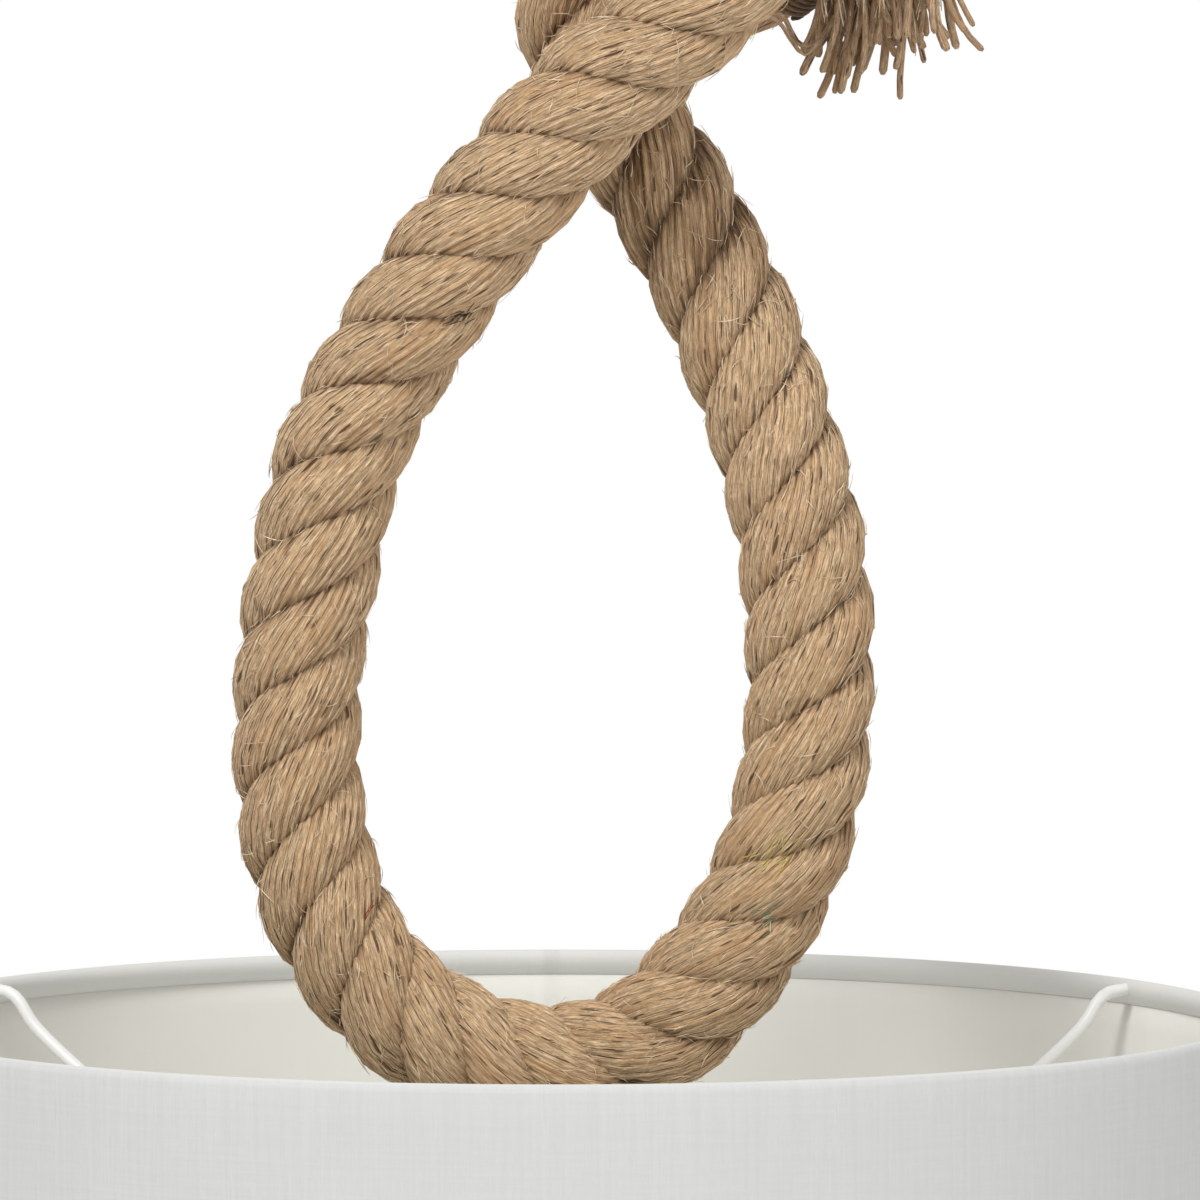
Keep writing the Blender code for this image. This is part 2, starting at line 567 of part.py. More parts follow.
def lamp(glass, brass, metal):
    """Screw cap, its contact and the glass."""
    top = lamp_top
    neck = LAMP_CAP_RADIUS - 0.0009
    cap_low = top - CONTACT_HEIGHT - GAP - LAMP_CAP_HEIGHT
    turned("lamp_contact", [
        (0, top), (CONTACT_RADIUS * 0.7, top - 0.0003), (CONTACT_RADIUS, top - 0.0010),
        (CONTACT_RADIUS, top - CONTACT_HEIGHT), (0, top - CONTACT_HEIGHT)], brass, 24)
    start = top - CONTACT_HEIGHT - GAP
    profile = [(0, start), (CONTACT_RADIUS * 1.3, start), (LAMP_CAP_RADIUS * 0.93, start - 0.0035)]
    for index in range(LAMP_CAP_TURNS):
        height = start - 0.0042 - index * LAMP_CAP_PITCH
        profile += [(LAMP_CAP_RADIUS, height - LAMP_CAP_PITCH * 0.25),
                    (LAMP_CAP_RADIUS - 0.0008, height - LAMP_CAP_PITCH * 0.75)]
    profile += [(LAMP_CAP_RADIUS, cap_low + 0.001), (LAMP_CAP_RADIUS, cap_low), (0, cap_low)]
    turned("lamp_cap", profile, metal, 20)
    neck_top = cap_low - GAP
    bulge = neck_top - LAMP_LENGTH + LAMP_RADIUS
    outside = [(neck, neck_top), (neck * 1.06, neck_top - 0.010)]
    for share in (0.25, 0.5, 0.75):
        blend = (1 - math.cos(math.pi * share)) / 2
        outside.append((neck * 1.06 + (LAMP_RADIUS - neck * 1.06) * blend,
                        neck_top - 0.010 + (bulge - neck_top + 0.010) * share))
    for angle in range(0, 90, 18):
        a = math.radians(angle)
        outside.append((LAMP_RADIUS * math.cos(a), bulge - LAMP_RADIUS * math.sin(a)))
    inside = [(radius - GLASS_WALL, height) for radius, height in outside if radius > 2 * GLASS_WALL]
    inside[-1] = (inside[-1][0], inside[-1][1] + GLASS_WALL)
    bottom = bulge - LAMP_RADIUS
    turned("lamp_glass", [(0, bottom + GLASS_WALL)] + inside[::-1] + outside + [(0, bottom)], glass, 24)


def drum_shade(fabric, liner, steel):
    """Fabric rolled over a wire ring at each edge, the stiff liner inside, and the spider."""
    outer = SHADE_RADIUS
    inner = outer - FABRIC_THICK
    ring_radius = inner - GAP - RIM_WIRE
    roll = RIM_WIRE + GAP + FABRIC_THICK
    ring_height = {1: rim - roll, -1: shade_bottom + roll}
    arc = [math.radians(d) for d in range(0, 181, 45)]
    outside = []
    for side in (1, -1):
        turn = arc if side == 1 else arc[::-1]
        middle = ring_height[side]
        outside.append([(ring_radius + roll * math.cos(a), middle + side * roll * math.sin(a))
                        for a in turn])
    inward = roll - FABRIC_THICK
    inside = []
    for side in (1, -1):
        turn = arc[::-1] if side == 1 else arc
        middle = ring_height[side]
        inside.append([(ring_radius + inward * math.cos(a), middle + side * inward * math.sin(a))
                       for a in turn])
    hem_top = rim - HEM_DEPTH
    hem_low = shade_bottom + HEM_DEPTH
    left = ring_radius - roll
    profile = ([(left, hem_top)] + outside[0][::-1] + outside[1][::-1] + [(left, hem_low)]
               + [(left + FABRIC_THICK, hem_low)] + inside[1][::-1] + inside[0][::-1]
               + [(left + FABRIC_THICK, hem_top)])
    shade = turned("shade_fabric", profile, fabric, SHADE_SIDES, closed=True)
    liner_outer = inner - GAP
    washer("shade_liner", liner_outer - LINER_THICK, liner_outer,
           ring_height[1] - RIM_WIRE - GAP, ring_height[-1] + RIM_WIRE + GAP, liner, SHADE_SIDES)
    for name, side in (("top_ring", 1), ("bottom_ring", -1)):
        loop = [(ring_radius + RIM_WIRE * math.cos(math.radians(a)),
                 ring_height[side] - RIM_WIRE * math.sin(math.radians(a))) for a in range(0, 360, 60)]
        turned(name, loop, steel, SHADE_SIDES, closed=True)
    width = SEAM_WIDTH / 2
    box("shade_seam", (-width, outer + GAP + 0.0001, shade_bottom + 0.001),
        (width, outer + GAP + 0.0006, rim - 0.001), fabric)
    spider(shade, ring_radius - RIM_WIRE - GAP, ring_height[1], steel)


def spider(shade, ring_inside, ring_height, steel):
    """The hub ring clamped on the lampholder, and three wires out to the top ring."""
    washer("spider_hub", HOLDER_RADIUS + 2 * GAP, HUB_RADIUS, hub_top, hub_bottom, steel, 28)
    wire_height = hub_top + GAP + SPIDER_WIRE
    hub_start = HOLDER_FLANGE_RADIUS + 2 * GAP + 0.0005
    drop = ring_height - wire_height
    span = ring_inside - HUB_RADIUS
    for index in range(SPIDER_ARMS):
        degrees = 30 + index * 360 / SPIDER_ARMS
        away = around(1, degrees, 0)
        shape = [(ring_inside, ring_height - 0.0005), (ring_inside - 0.007, ring_height - 0.0012)]
        shape += [(HUB_RADIUS + span * t, wire_height + drop * rise)
                  for t, rise in ((0.935, 0.95), (0.9, 0.86), (0.81, 0.72), (0.71, 0.59), (0.5, 0.36),
                                  (0.25, 0.13), (0.12, 0.04))]
        shape += [(HUB_RADIUS, wire_height), (hub_start, wire_height)]
        points = [away * radius + Vector((0, 0, height)) for radius, height in shape]
        wire(f"spider_arm_{index + 1}", points, SPIDER_WIRE, steel, 2)
        side = away.cross(Vector((0, 0, 1))) * (SPIDER_WIRE + 0.0015)
        corner = away * (ring_inside - 0.003) + Vector((0, 0, ring_height - 0.0005))
        notch = cylinder(f"hem_notch_{index + 1}", corner - away * 0.004, corner + away * 0.0044,
                         side.length, steel, 16)
        cut(shade, notch)


def main():
    clear_scene()
    steel = material("blackened_steel", (0.055, 0.052, 0.05), 0.45, 0.9)
    wire_white = material("white_wire", (0.8, 0.8, 0.78), 0.4)
    jute = material("jute", (0.52, 0.37, 0.23), 0.95)
    twine = material("twine", (0.45, 0.31, 0.19), 0.9)
    plastic = material("black_plastic", (0.03, 0.03, 0.03), 0.4)
    brass = material("brass", (0.75, 0.56, 0.26), 0.3, 1.0)
    ceramic = material("white_ceramic", (0.85, 0.84, 0.8), 0.3)
    nickel = material("nickel", (0.72, 0.71, 0.68), 0.25, 1.0)
    opal = material("opal_glass", (0.93, 0.93, 0.91), 0.15)
    fabric = material("shade_linen", (0.72, 0.72, 0.7), 0.9)
    liner = material("shade_liner", (0.74, 0.73, 0.7), 0.7)
    ceiling_fitting(steel)
    shackle(steel)
    swivel_eye(steel)
    rope_cap(steel)
    rope(jute, twine)
    saddle(steel)
    lampholder(steel, plastic, brass, ceramic)
    lamp(opal, brass, nickel)
    drum_shade(fabric, liner, wire_white)


main()
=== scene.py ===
import json
import math

import bmesh
import bpy
import numpy as np
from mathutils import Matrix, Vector
from mathutils.bvhtree import BVHTree

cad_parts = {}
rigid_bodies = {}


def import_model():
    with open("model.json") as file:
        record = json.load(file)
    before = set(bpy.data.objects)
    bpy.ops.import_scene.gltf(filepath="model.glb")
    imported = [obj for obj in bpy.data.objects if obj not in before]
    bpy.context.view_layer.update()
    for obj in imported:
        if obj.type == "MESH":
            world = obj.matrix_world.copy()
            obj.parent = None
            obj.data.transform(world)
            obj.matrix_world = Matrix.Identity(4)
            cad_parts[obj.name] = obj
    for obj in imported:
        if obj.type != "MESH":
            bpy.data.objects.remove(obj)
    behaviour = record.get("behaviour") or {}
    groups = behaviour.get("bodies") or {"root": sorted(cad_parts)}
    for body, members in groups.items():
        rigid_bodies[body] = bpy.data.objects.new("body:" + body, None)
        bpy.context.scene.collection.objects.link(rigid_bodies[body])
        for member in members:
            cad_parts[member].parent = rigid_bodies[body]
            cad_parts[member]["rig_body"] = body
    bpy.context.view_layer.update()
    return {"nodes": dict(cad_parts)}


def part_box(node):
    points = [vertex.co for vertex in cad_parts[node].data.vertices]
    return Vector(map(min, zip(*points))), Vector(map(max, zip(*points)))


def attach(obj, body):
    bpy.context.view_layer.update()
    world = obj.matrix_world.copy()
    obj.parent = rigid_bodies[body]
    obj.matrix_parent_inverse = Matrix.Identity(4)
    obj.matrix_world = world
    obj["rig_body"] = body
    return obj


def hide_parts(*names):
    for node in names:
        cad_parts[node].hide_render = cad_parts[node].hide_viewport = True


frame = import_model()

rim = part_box("shade_fabric")[1].z  # the shade's top edge
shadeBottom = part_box("shade_fabric")[0].z


# ---- small helpers
def makePiece(name, points, faces, finish, body, smooth=True, tidy=False):
    mesh = bpy.data.meshes.new(name)
    mesh.from_pydata([tuple(p) for p in points], [], [tuple(f) for f in faces])
    if tidy:  # merge the points on the axis and turn every face outwards
        shape = bmesh.new()
        shape.from_mesh(mesh)
        bmesh.ops.remove_doubles(shape, verts=shape.verts, dist=1e-6)
        bmesh.ops.recalc_face_normals(shape, faces=shape.faces)
        shape.to_mesh(mesh)
        shape.free()
    mesh.validate()
    mesh.polygons.foreach_set("use_smooth", [smooth] * len(mesh.polygons))
    mesh.materials.append(finish.material)
    piece = bpy.data.objects.new(name, mesh)
    bpy.context.scene.collection.objects.link(piece)
    if body:
        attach(piece, body)
    return piece


def bodyOf(node):
    return frame["nodes"][node]["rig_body"]


def smoothLine(points, step):  # a smooth curve through the points, read at even steps
    points = np.array(points, float)
    ends = np.vstack([2 * points[0] - points[1], points, 2 * points[-1] - points[-2]])
    fine = []
    t = np.linspace(0, 1, 24, endpoint=False)[:, None]
    for a, b, c, d in zip(ends, ends[1:], ends[2:], ends[3:]):
        fine.append(0.5 * (2 * b + (c - a) * t + (2 * a - 5 * b + 4 * c - d) * t ** 2
                           + (3 * b - a - 3 * c + d) * t ** 3))
    fine = np.vstack(fine + [points[-1:]])
    along = np.r_[0, np.cumsum(np.linalg.norm(np.diff(fine, axis=0), axis=1))]
    wanted = np.linspace(0, along[-1], round(along[-1] / step) + 1)
    return np.stack([np.interp(wanted, along, fine[:, k]) for k in range(3)], axis=1), wanted


def unit(vectors):
    return vectors / np.maximum(np.linalg.norm(vectors, axis=-1, keepdims=True), 1e-12)


def carriedFrames(line, start):  # a frame carried along the line without twist
    tangent = unit(np.gradient(line, axis=0))
    side = np.zeros_like(line)
    side[0] = unit(start - tangent[0] * (start @ tangent[0]))
    for i in range(1, len(line)):
        side[i] = unit(side[i - 1] - tangent[i] * (side[i - 1] @ tangent[i]))
    return side, np.cross(tangent, side)


def tubeRings(line, radius, sides, start=(0.0, -1.0, 0.0)):  # a ring of points round each point of a line
    side, across = carriedFrames(line, np.array(start))
    turn = np.linspace(0, math.tau, sides, endpoint=False)
    spoke = side[:, None] * np.cos(turn)[:, None] + across[:, None] * np.sin(turn)[:, None]
    radii = np.broadcast_to(np.asarray(radius, float), (len(line),))
    return line[:, None] + radii[:, None, None] * spoke


def ringFaces(rings, sides, first=0):
    i, j = np.meshgrid(np.arange(rings - 1), np.arange(sides), indexing="ij")
    a = first + i * sides + j
    b = first + i * sides + (j + 1) % sides
    return np.stack([a, b, b + sides, a + sides], axis=-1).reshape(-1, 4)


def endCaps(rings, sides, first=0):  # the two faces that close a tube of rings
    last = first + (rings - 1) * sides
    return [tuple(range(first + sides - 1, first - 1, -1)), tuple(range(last, last + sides))]


# ---- shader sums written as Python
class Socket:
    def __init__(self, finish, socket):
        self.finish = finish
        self.socket = socket

    def vector(self):
        return self.socket.type == "VECTOR"

    def sums(self, operation, first, second):
        pair = [x for x in (first, second) if isinstance(x, Socket)]
        kind = "ShaderNodeVectorMath" if any(x.vector() for x in pair) else "ShaderNodeMath"
        return self.finish.node(kind, {"operation": operation}, {0: first, 1: second})

    def __add__(self, other): return self.sums("ADD", self, other)
    def __radd__(self, other): return self.sums("ADD", other, self)
    def __sub__(self, other): return self.sums("SUBTRACT", self, other)
    def __rsub__(self, other): return self.sums("SUBTRACT", other, self)
    def __mul__(self, other): return self.sums("MULTIPLY", self, other)
    def __rmul__(self, other): return self.sums("MULTIPLY", other, self)


class Finish:
    def __init__(self, name, slot=None, **fixed):
        self.slot = slot or name
        self.material = bpy.data.materials.new(name)
        self.material.use_nodes = True
        self.tree = self.material.node_tree
        self.shader = self.tree.nodes["Principled BSDF"]
        for socket, value in fixed.items():
            self.put(self.shader.inputs[socket.replace("_", " ")], value)

    def node(self, kind, settings=None, inputs=None, output=0):
        made = self.tree.nodes.new(kind)
        for key, value in (settings or {}).items():
            if key == "stops":
                for index, (place, colour) in enumerate(value):
                    stops = made.color_ramp.elements
                    stop = stops[index] if index < 2 else stops.new(place)
                    stop.position = place
                    stop.color = (*colour, 1)
            else:
                setattr(made, key, value)
        for key, value in (inputs or {}).items():
            self.put(made.inputs[key], value)
        return Socket(self, made.outputs[output])

    def put(self, target, value):
        if isinstance(value, Socket):
            self.tree.links.new(value.socket, target)
        elif target.type == "VECTOR" and isinstance(value, (int, float)):
            target.default_value = (value, value, value)
        elif target.type == "RGBA" and len(value) == 3:
            target.default_value = (*value, 1)
        else:
            target.default_value = value

    def noise(self, vector, scale, detail=2.0, roughness=0.5, distortion=0.0):
        return self.node("ShaderNodeTexNoise", {}, {"Vector": vector, "Scale": scale, "Detail": detail,
                                                    "Roughness": roughness, "Distortion": distortion})

    def ramp(self, value, *stops):
        return self.node("ShaderNodeValToRGB", {"stops": stops}, {"Fac": value})

    def step(self, value, low, high, toLow=0.0, toHigh=1.0):
        ends = {"Value": value, "From Min": low, "From Max": high, "To Min": toLow, "To Max": toHigh}
        return self.node("ShaderNodeMapRange", {"interpolation_type": "SMOOTHSTEP"}, ends)

    def away(self, value, middle):  # how far a value is from a middle one
        return self.node("ShaderNodeMath", {"operation": "ABSOLUTE"}, {0: value - middle})

    def part(self, vector, axis):
        return self.node("ShaderNodeSeparateXYZ", {}, {0: vector}, axis)

    def mix(self, share, first, second):
        return self.node("ShaderNodeMix", {"data_type": "RGBA"}, {0: share, 6: first, 7: second}, 2)

    def scaled(self, vector, x, y, z):
        return self.node("ShaderNodeVectorMath", {"operation": "MULTIPLY"}, {0: vector, 1: (x, y, z)})

    def place(self):  # where a point of the piece is at rest
        return self.node("ShaderNodeTexCoord", {}, {}, "Object")

    def along(self, name):
        return self.node("ShaderNodeUVMap", {"uv_map": name})

    def value(self, name, output="Fac"):
        return self.node("ShaderNodeAttribute", {"attribute_name": name}, {}, output)

    def wears(self, **inputs):
        for socket, value in inputs.items():
            self.put(self.shader.inputs[socket.replace("_", " ")], value)
        return self

    def relief(self, height, depth):
        bump = {"Height": height, "Distance": depth, "Strength": 1.0}
        return self.wears(Normal=self.node("ShaderNodeBump", {}, bump, "Normal"))


# ---- camera, light and floor
view = {"across": 0.0129, "distance": 2.5, "aboveRim": 0.2438, "lookAboveRim": 0.124,
        "lens": 250, "sensor": 36}


def addCamera():
    data = bpy.data.cameras.new("camera")
    data.sensor_width = view["sensor"]
    data.lens = view["lens"]
    camera = bpy.data.objects.new("camera", data)
    bpy.context.scene.collection.objects.link(camera)
    camera.location = (view["across"], -view["distance"], rim + view["aboveRim"])
    target = Vector((view["across"], 0, rim + view["lookAboveRim"]))
    camera.rotation_euler = (target - camera.location).to_track_quat("-Z", "Y").to_euler()
    bpy.context.scene.camera = camera


studio = {"backdrop": 1.0, "ambient": 0.61, "key": 76.0, "keyAt": (-1.1, -1.9, 1.9), "keySize": 0.9,
          "fill": 18.0, "fillAt": (2.0, -1.8, -0.2), "fillSize": 1.8, "aimAboveRim": 0.1,
          "floorBelow": 0.45, "floorSize": 3.0, "floorTone": (0.86, 0.86, 0.86)}


def addLight(name, power, place, size, aim):
    data = bpy.data.lights.new(name, "AREA")
    data.energy = power
    data.size = size
    lamp = bpy.data.objects.new(name, data)
    bpy.context.scene.collection.objects.link(lamp)
    lamp.location = place
    lamp.rotation_euler = (Vector(aim) - lamp.location).to_track_quat("-Z", "Y").to_euler()


def addStudio():
    scene = bpy.context.scene
    scene.view_settings.view_transform = "Standard"
    scene.world = bpy.data.worlds.new("studio")
    scene.world.use_nodes = True
    tree = scene.world.node_tree
    light = tree.nodes["Background"]
    light.inputs["Color"].default_value = (1, 1, 1, 1)
    seen = tree.nodes.new("ShaderNodeLightPath")
    strength = tree.nodes.new("ShaderNodeMapRange")
    strength.inputs["To Min"].default_value = studio["ambient"]
    strength.inputs["To Max"].default_value = studio["backdrop"]
    tree.links.new(seen.outputs["Is Camera Ray"], strength.inputs["Value"])
    tree.links.new(strength.outputs["Result"], light.inputs["Strength"])
    middle = (0, 0, rim + studio["aimAboveRim"])
    addLight("keyLight", studio["key"], studio["keyAt"], studio["keySize"], middle)
    addLight("fillLight", studio["fill"], studio["fillAt"], studio["fillSize"], middle)
    finish = Finish("palePaper", Base_Color=studio["floorTone"], Roughness=0.9)
    far, low = studio["floorSize"], shadeBottom - studio["floorBelow"]
    corners = [(x * far, y * far, low) for x, y in ((-1, -1), (1, -1), (1, 1), (-1, 1))]
    floor = makePiece("floor", corners, [(0, 1, 2, 3)], finish, None, smooth=False)


addCamera()
addStudio()
print("camera and light are in")

# ---- the rope
rope = {
    "radius": 0.0195, "pitch": 0.068, "strands": 3, "step": 0.0042, "phase": 0.4,
    # painted shadow on the leg under the crossing: where along the rope, how far it spreads, how dark
    "crossingShadowAt": 0.275, "crossingShadowSpread": 0.030, "crossingShadowDepth": 0.36,
    "tightensAt": (0.48, 0.64, 0.70, 0.98), "tightens": (0.0, 0.13, 0.13, 0.06),  # turns more, round the bend
    # the fourth value is the depth over which painted shade darkens the hollows between strands
    "strandDeep": 0.0086, "strandWide": 0.0104, "squareness": 2.1, "valley": 0.0050, "layStretch": 1.35,
    "yarns": 24, "yarnTwist": -1.34,  # turns within a strand for each turn of the lay
    "groove": 0.00028, "grooveVaries": 0.00036, "grooveWave": 0.022, "yarnLift": 0.00020, "liftWave": 0.06,
    "crown": 0.00035, "swells": 0.03, "swellWave": 0.05, "seed": 11,
}
ropeRoute = [  # metres from the middle of the shade's top edge
    (0, 0, 0.513), (0, 0, 0.455), (0.001, 0, 0.400), (0.003, 0.004, 0.346), (0.007, 0.010, 0.300),
    (0.015, 0.012, 0.275), (0.030, 0.013, 0.252), (0.047, 0.011, 0.220), (0.062, 0.008, 0.184),
    (0.072, 0.005, 0.148), (0.076, 0.003, 0.112), (0.075, 0.002, 0.080), (0.069, 0, 0.051),
    (0.057, 0, 0.025), (0.040, 0, 0.003), (0.021, 0, -0.012), (0, 0, -0.017), (-0.024, 0, -0.013),
    (-0.049, -0.001, 0.002), (-0.067, -0.002, 0.026), (-0.076, -0.003, 0.055), (-0.078, -0.004, 0.088),
    (-0.075, -0.007, 0.121), (-0.063, -0.011, 0.172), (-0.036, -0.019, 0.219), (-0.010, -0.026, 0.252),
    (0.011, -0.030, 0.275), (0.032, -0.033, 0.294), (0.051, -0.036, 0.313), (0.063, -0.039, 0.334),
    (0.066, -0.042, 0.360), (0.055, -0.045, 0.387), (0.030, -0.046, 0.403), (-0.004, -0.043, 0.403),
    (-0.032, -0.030, 0.392), (-0.045, 0, 0.377), (-0.042, 0.031, 0.357), (-0.020, 0.050, 0.335),
    (0.012, 0.053, 0.315), (0.041, 0.045, 0.309), (0.060, 0.035, 0.316), (0.072, 0.028, 0.326),
]
ropeLine, ropeAlong = smoothLine([(x, y, z + rim) for x, y, z in ropeRoute], rope["step"])
ropeSide, ropeAcross = carriedFrames(ropeLine, np.array([0.0, -1.0, 0.0]))


def strandCentres(index):  # the middle of one strand, and its own frame
    laid = ropeAlong / rope["pitch"] + np.interp(ropeAlong, rope["tightensAt"], rope["tightens"])
    turn = rope["phase"] + (index / rope["strands"] + laid) * math.tau
    outward = np.cos(turn)[:, None] * ropeSide + np.sin(turn)[:, None] * ropeAcross
    centre = ropeLine + (rope["radius"] - rope["strandDeep"]) * outward
    tangent = unit(np.gradient(centre, axis=0))
    outward = unit(outward - tangent * (outward * tangent).sum(1, keepdims=True))
    return centre, outward, np.cross(tangent, outward)


def slowWave(rng, along, length, count):  # a smooth random value for each of count things
    waves = np.zeros((len(along), count))
    for octave in (1.0, 2.3, 4.1):
        phase = rng.uniform(0, math.tau, count)
        rate = octave * rng.uniform(0.8, 1.25, count) / length
        waves += np.sin(along[:, None] * math.tau * rate + phase) / octave
    return waves / 1.7


def addLay(piece, uvs, shade):  # fibre coordinates on the corners, and how deep in shade each point sits
    layer = piece.data.uv_layers.new(name="lay")
    rest = np.zeros((len(piece.data.loops) - len(uvs), 2))
    layer.uv.foreach_set("vector", np.vstack([uvs, rest]).astype(np.float32).ravel())
    valley = piece.data.attributes.new("valley", "FLOAT", "POINT")
    valley.data.foreach_set("value", np.asarray(shade, np.float32))


def tubeLay(along, girth, sides, shift):  # those coordinates for the faces of ringFaces
    i, j = np.meshgrid(np.arange(len(along) - 1), np.arange(sides), indexing="ij")
    u0, u1 = along[i] + shift, along[i + 1] + shift
    v0, v1 = girth * j / sides, girth * (j + 1) / sides
    corners = ((u0, v0), (u0, v1), (u1, v1), (u1, v0))
    return np.stack([np.stack(corner, -1) for corner in corners], 2).reshape(-1, 2)


def makeStrands():  # the rings of points of each strand, following its yarns
    rng = np.random.default_rng(rope["seed"])
    shape = np.array([(0.0, -1.0), (0.2, 0.0), (0.5, 1.0), (0.8, 0.0)])  # a yarn: place across, height
    share = (np.arange(rope["yarns"])[:, None] + shape[:, 0]).ravel() / rope["yarns"]
    power = rope["squareness"]
    strands = []
    for index in range(rope["strands"]):
        centre, outward, across = strandCentres(index)
        deeper = np.clip(slowWave(rng, ropeAlong, rope["grooveWave"], rope["yarns"]), -0.6, 1)
        groove = rope["groove"] + rope["grooveVaries"] * deeper
        lift = rope["yarnLift"] * slowWave(rng, ropeAlong, rope["liftWave"], rope["yarns"])
        body = 1 + rope["swells"] * slowWave(rng, ropeAlong, rope["swellWave"], 1)
        ridge = np.where(shape[:, 1] < 0, -groove[:, :, None], rope["crown"] * shape[:, 1])
        height = lift[:, :, None] + ridge
        height = height.reshape(len(ropeAlong), -1)
        angle = share * math.tau + (rope["yarnTwist"] * ropeAlong * math.tau / rope["pitch"])[:, None]
        cosine, sine = np.cos(angle), np.sin(angle)
        even = (np.abs(cosine) ** power + np.abs(sine) ** power) ** (-1 / power)
        deep = (rope["strandDeep"] * body + height) * even * cosine
        wide = (rope["strandWide"] * body + height) * even * sine
        skin = centre[:, None] + deep[:, :, None] * outward[:, None] + wide[:, :, None] * across[:, None]
        strands.append((skin, centre))
    return strands


def makeRope(finish, strands):
    rings, sides = strands[0][0].shape[:2]
    away = [np.linalg.norm(skin - ropeLine[:, None], axis=2).ravel() for skin, centre in strands]
    crossingShadowFalloff = ((ropeAlong - rope["crossingShadowAt"]) / rope["crossingShadowSpread"]) ** 2  # painted shadow under the crossing rope, falling off along the rope
    wearAndShadow = rope["crossingShadowDepth"] * np.exp(-crossingShadowFalloff)
    wearAndShadow = np.tile(np.repeat(wearAndShadow, sides), rope["strands"])
    # painted shade: darker the deeper a point lies between the strands, plus the painted shadow under the
    # crossing
    dark = np.clip((rope["radius"] - np.concatenate(away)) / rope["valley"] + wearAndShadow, 0, 1)
    girth = math.tau * rope["strandWide"]
    faces, uvs, caps = [], [], []
    for index in range(rope["strands"]):
        first = index * rings * sides
        faces.append(ringFaces(rings, sides, first=first))
        uvs.append(tubeLay(ropeAlong * rope["layStretch"], girth, sides, index * 2))
        caps += endCaps(rings, sides, first)
    points = np.vstack([skin.reshape(-1, 3) for skin, centre in strands])
    piece = makePiece("laidRope", points, [tuple(f) for f in np.vstack(faces)] + caps, finish, "pendant")
    addLay(piece, np.vstack(uvs), dark)
    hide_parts("rope")
    return piece


hairs = {"count": 6600, "length": (0.004, 0.012), "thick": (0.00010, 0.00019), "lift": 0.0004,
         "rests": 0.00015, "deepest": 0.006, "followYarn": 0.6, "leans": 0.35, "crosses": 1.5, "bend": 60,
         "rings": 6, "sides": 3, "seed": 5}


def makeHairs(finish, strands):  # loose fibres lying over the rope
    rng = np.random.default_rng(hairs["seed"])
    skins = np.stack([skin for skin, centre in strands])
    middles = np.stack([centre for skin, centre in strands])
    pick = rng.integers(0, len(skins), hairs["count"] * 3)
    ring = rng.integers(3, skins.shape[1] - 3, len(pick))
    spot = rng.integers(0, skins.shape[2], len(pick))
    at = skins[pick, ring, spot]
    outward = unit(at - middles[pick, ring])
    away = np.linalg.norm(at - ropeLine[ring], axis=1)
    seen = np.flatnonzero(away > rope["radius"] - hairs["deepest"])[:hairs["count"]]
    pick, ring, spot, at, outward = (x[seen] for x in (pick, ring, spot, at, outward))
    alongYarn = unit(skins[pick, ring + 1, spot] - at)
    across = np.cross(outward, alongYarn)
    count = len(at)
    follows = rng.random(count) < hairs["followYarn"]
    along = rng.normal(0, hairs["leans"], count)
    lean = np.where(follows, along, rng.uniform(-hairs["crosses"], hairs["crosses"], count))
    heading = unit(alongYarn * np.cos(lean)[:, None] + across * np.sin(lean)[:, None])
    side = np.cross(outward, heading)
    length = rng.uniform(*hairs["length"], count)
    bend = rng.normal(0, hairs["bend"], count)
    thick = rng.uniform(*hairs["thick"], count)
    share = np.linspace(-0.5, 0.5, hairs["rings"])
    reach = share[None, :] * length[:, None]
    sink = reach ** 2 / (2 * rope["strandDeep"] * 1.3) * np.abs(np.sin(lean))[:, None]
    rise = hairs["rests"] + hairs["lift"] * rng.random(count)[:, None] * (1 - 4 * share ** 2) - sink
    lines = (at[:, None] + heading[:, None] * reach[:, :, None] + outward[:, None] * rise[:, :, None]
             + side[:, None] * (bend[:, None] * reach ** 2)[:, :, None])
    turn = np.linspace(0, math.tau, hairs["sides"], endpoint=False)
    taper = thick[:, None] * (1 - 3 * share ** 2)
    spokes = outward[:, None, None] * np.cos(turn)[:, None] + side[:, None, None] * np.sin(turn)[:, None]
    points = lines[:, :, None] + spokes * taper[:, :, None, None]
    rings, sides = hairs["rings"], hairs["sides"]
    faces = np.vstack([ringFaces(rings, sides, first=i * rings * sides) for i in range(count)])
    makePiece("strayFibres", points.reshape(-1, 3), faces, finish, "pendant")


dyed = [  # fibres from another yarn: colour, middle across and above the rim, spread, slope, how many, length
    ("violetFibre", (0.10, 0.06, 0.13), (-0.0805, 0.0060), 0.0004, 0.45, 2, 0.0075),
    ("yellowFibre", (0.52, 0.43, 0.15), (0.0655, 0.0490), 0.0038, 0.9, 26, 0.005),
    ("greenFibre", (0.13, 0.22, 0.13), (0.0620, 0.0300), 0.0030, 0.5, 9, 0.004),
    ("rustFibre", (0.26, 0.06, 0.03), (-0.0560, 0.0320), 0.0006, 1.2, 3, 0.006),
    ("darkFibre", (0.045, 0.028, 0.018), (-0.0290, 0.2100), 0.0016, 0.5, 12, 0.004),
]
dyedFibre = {"seed": 31, "slopeVaries": 0.25, "paler": 1.6, "points": 7, "thick": 0.00012,
             "lift": 0.0002, "from": -0.2}


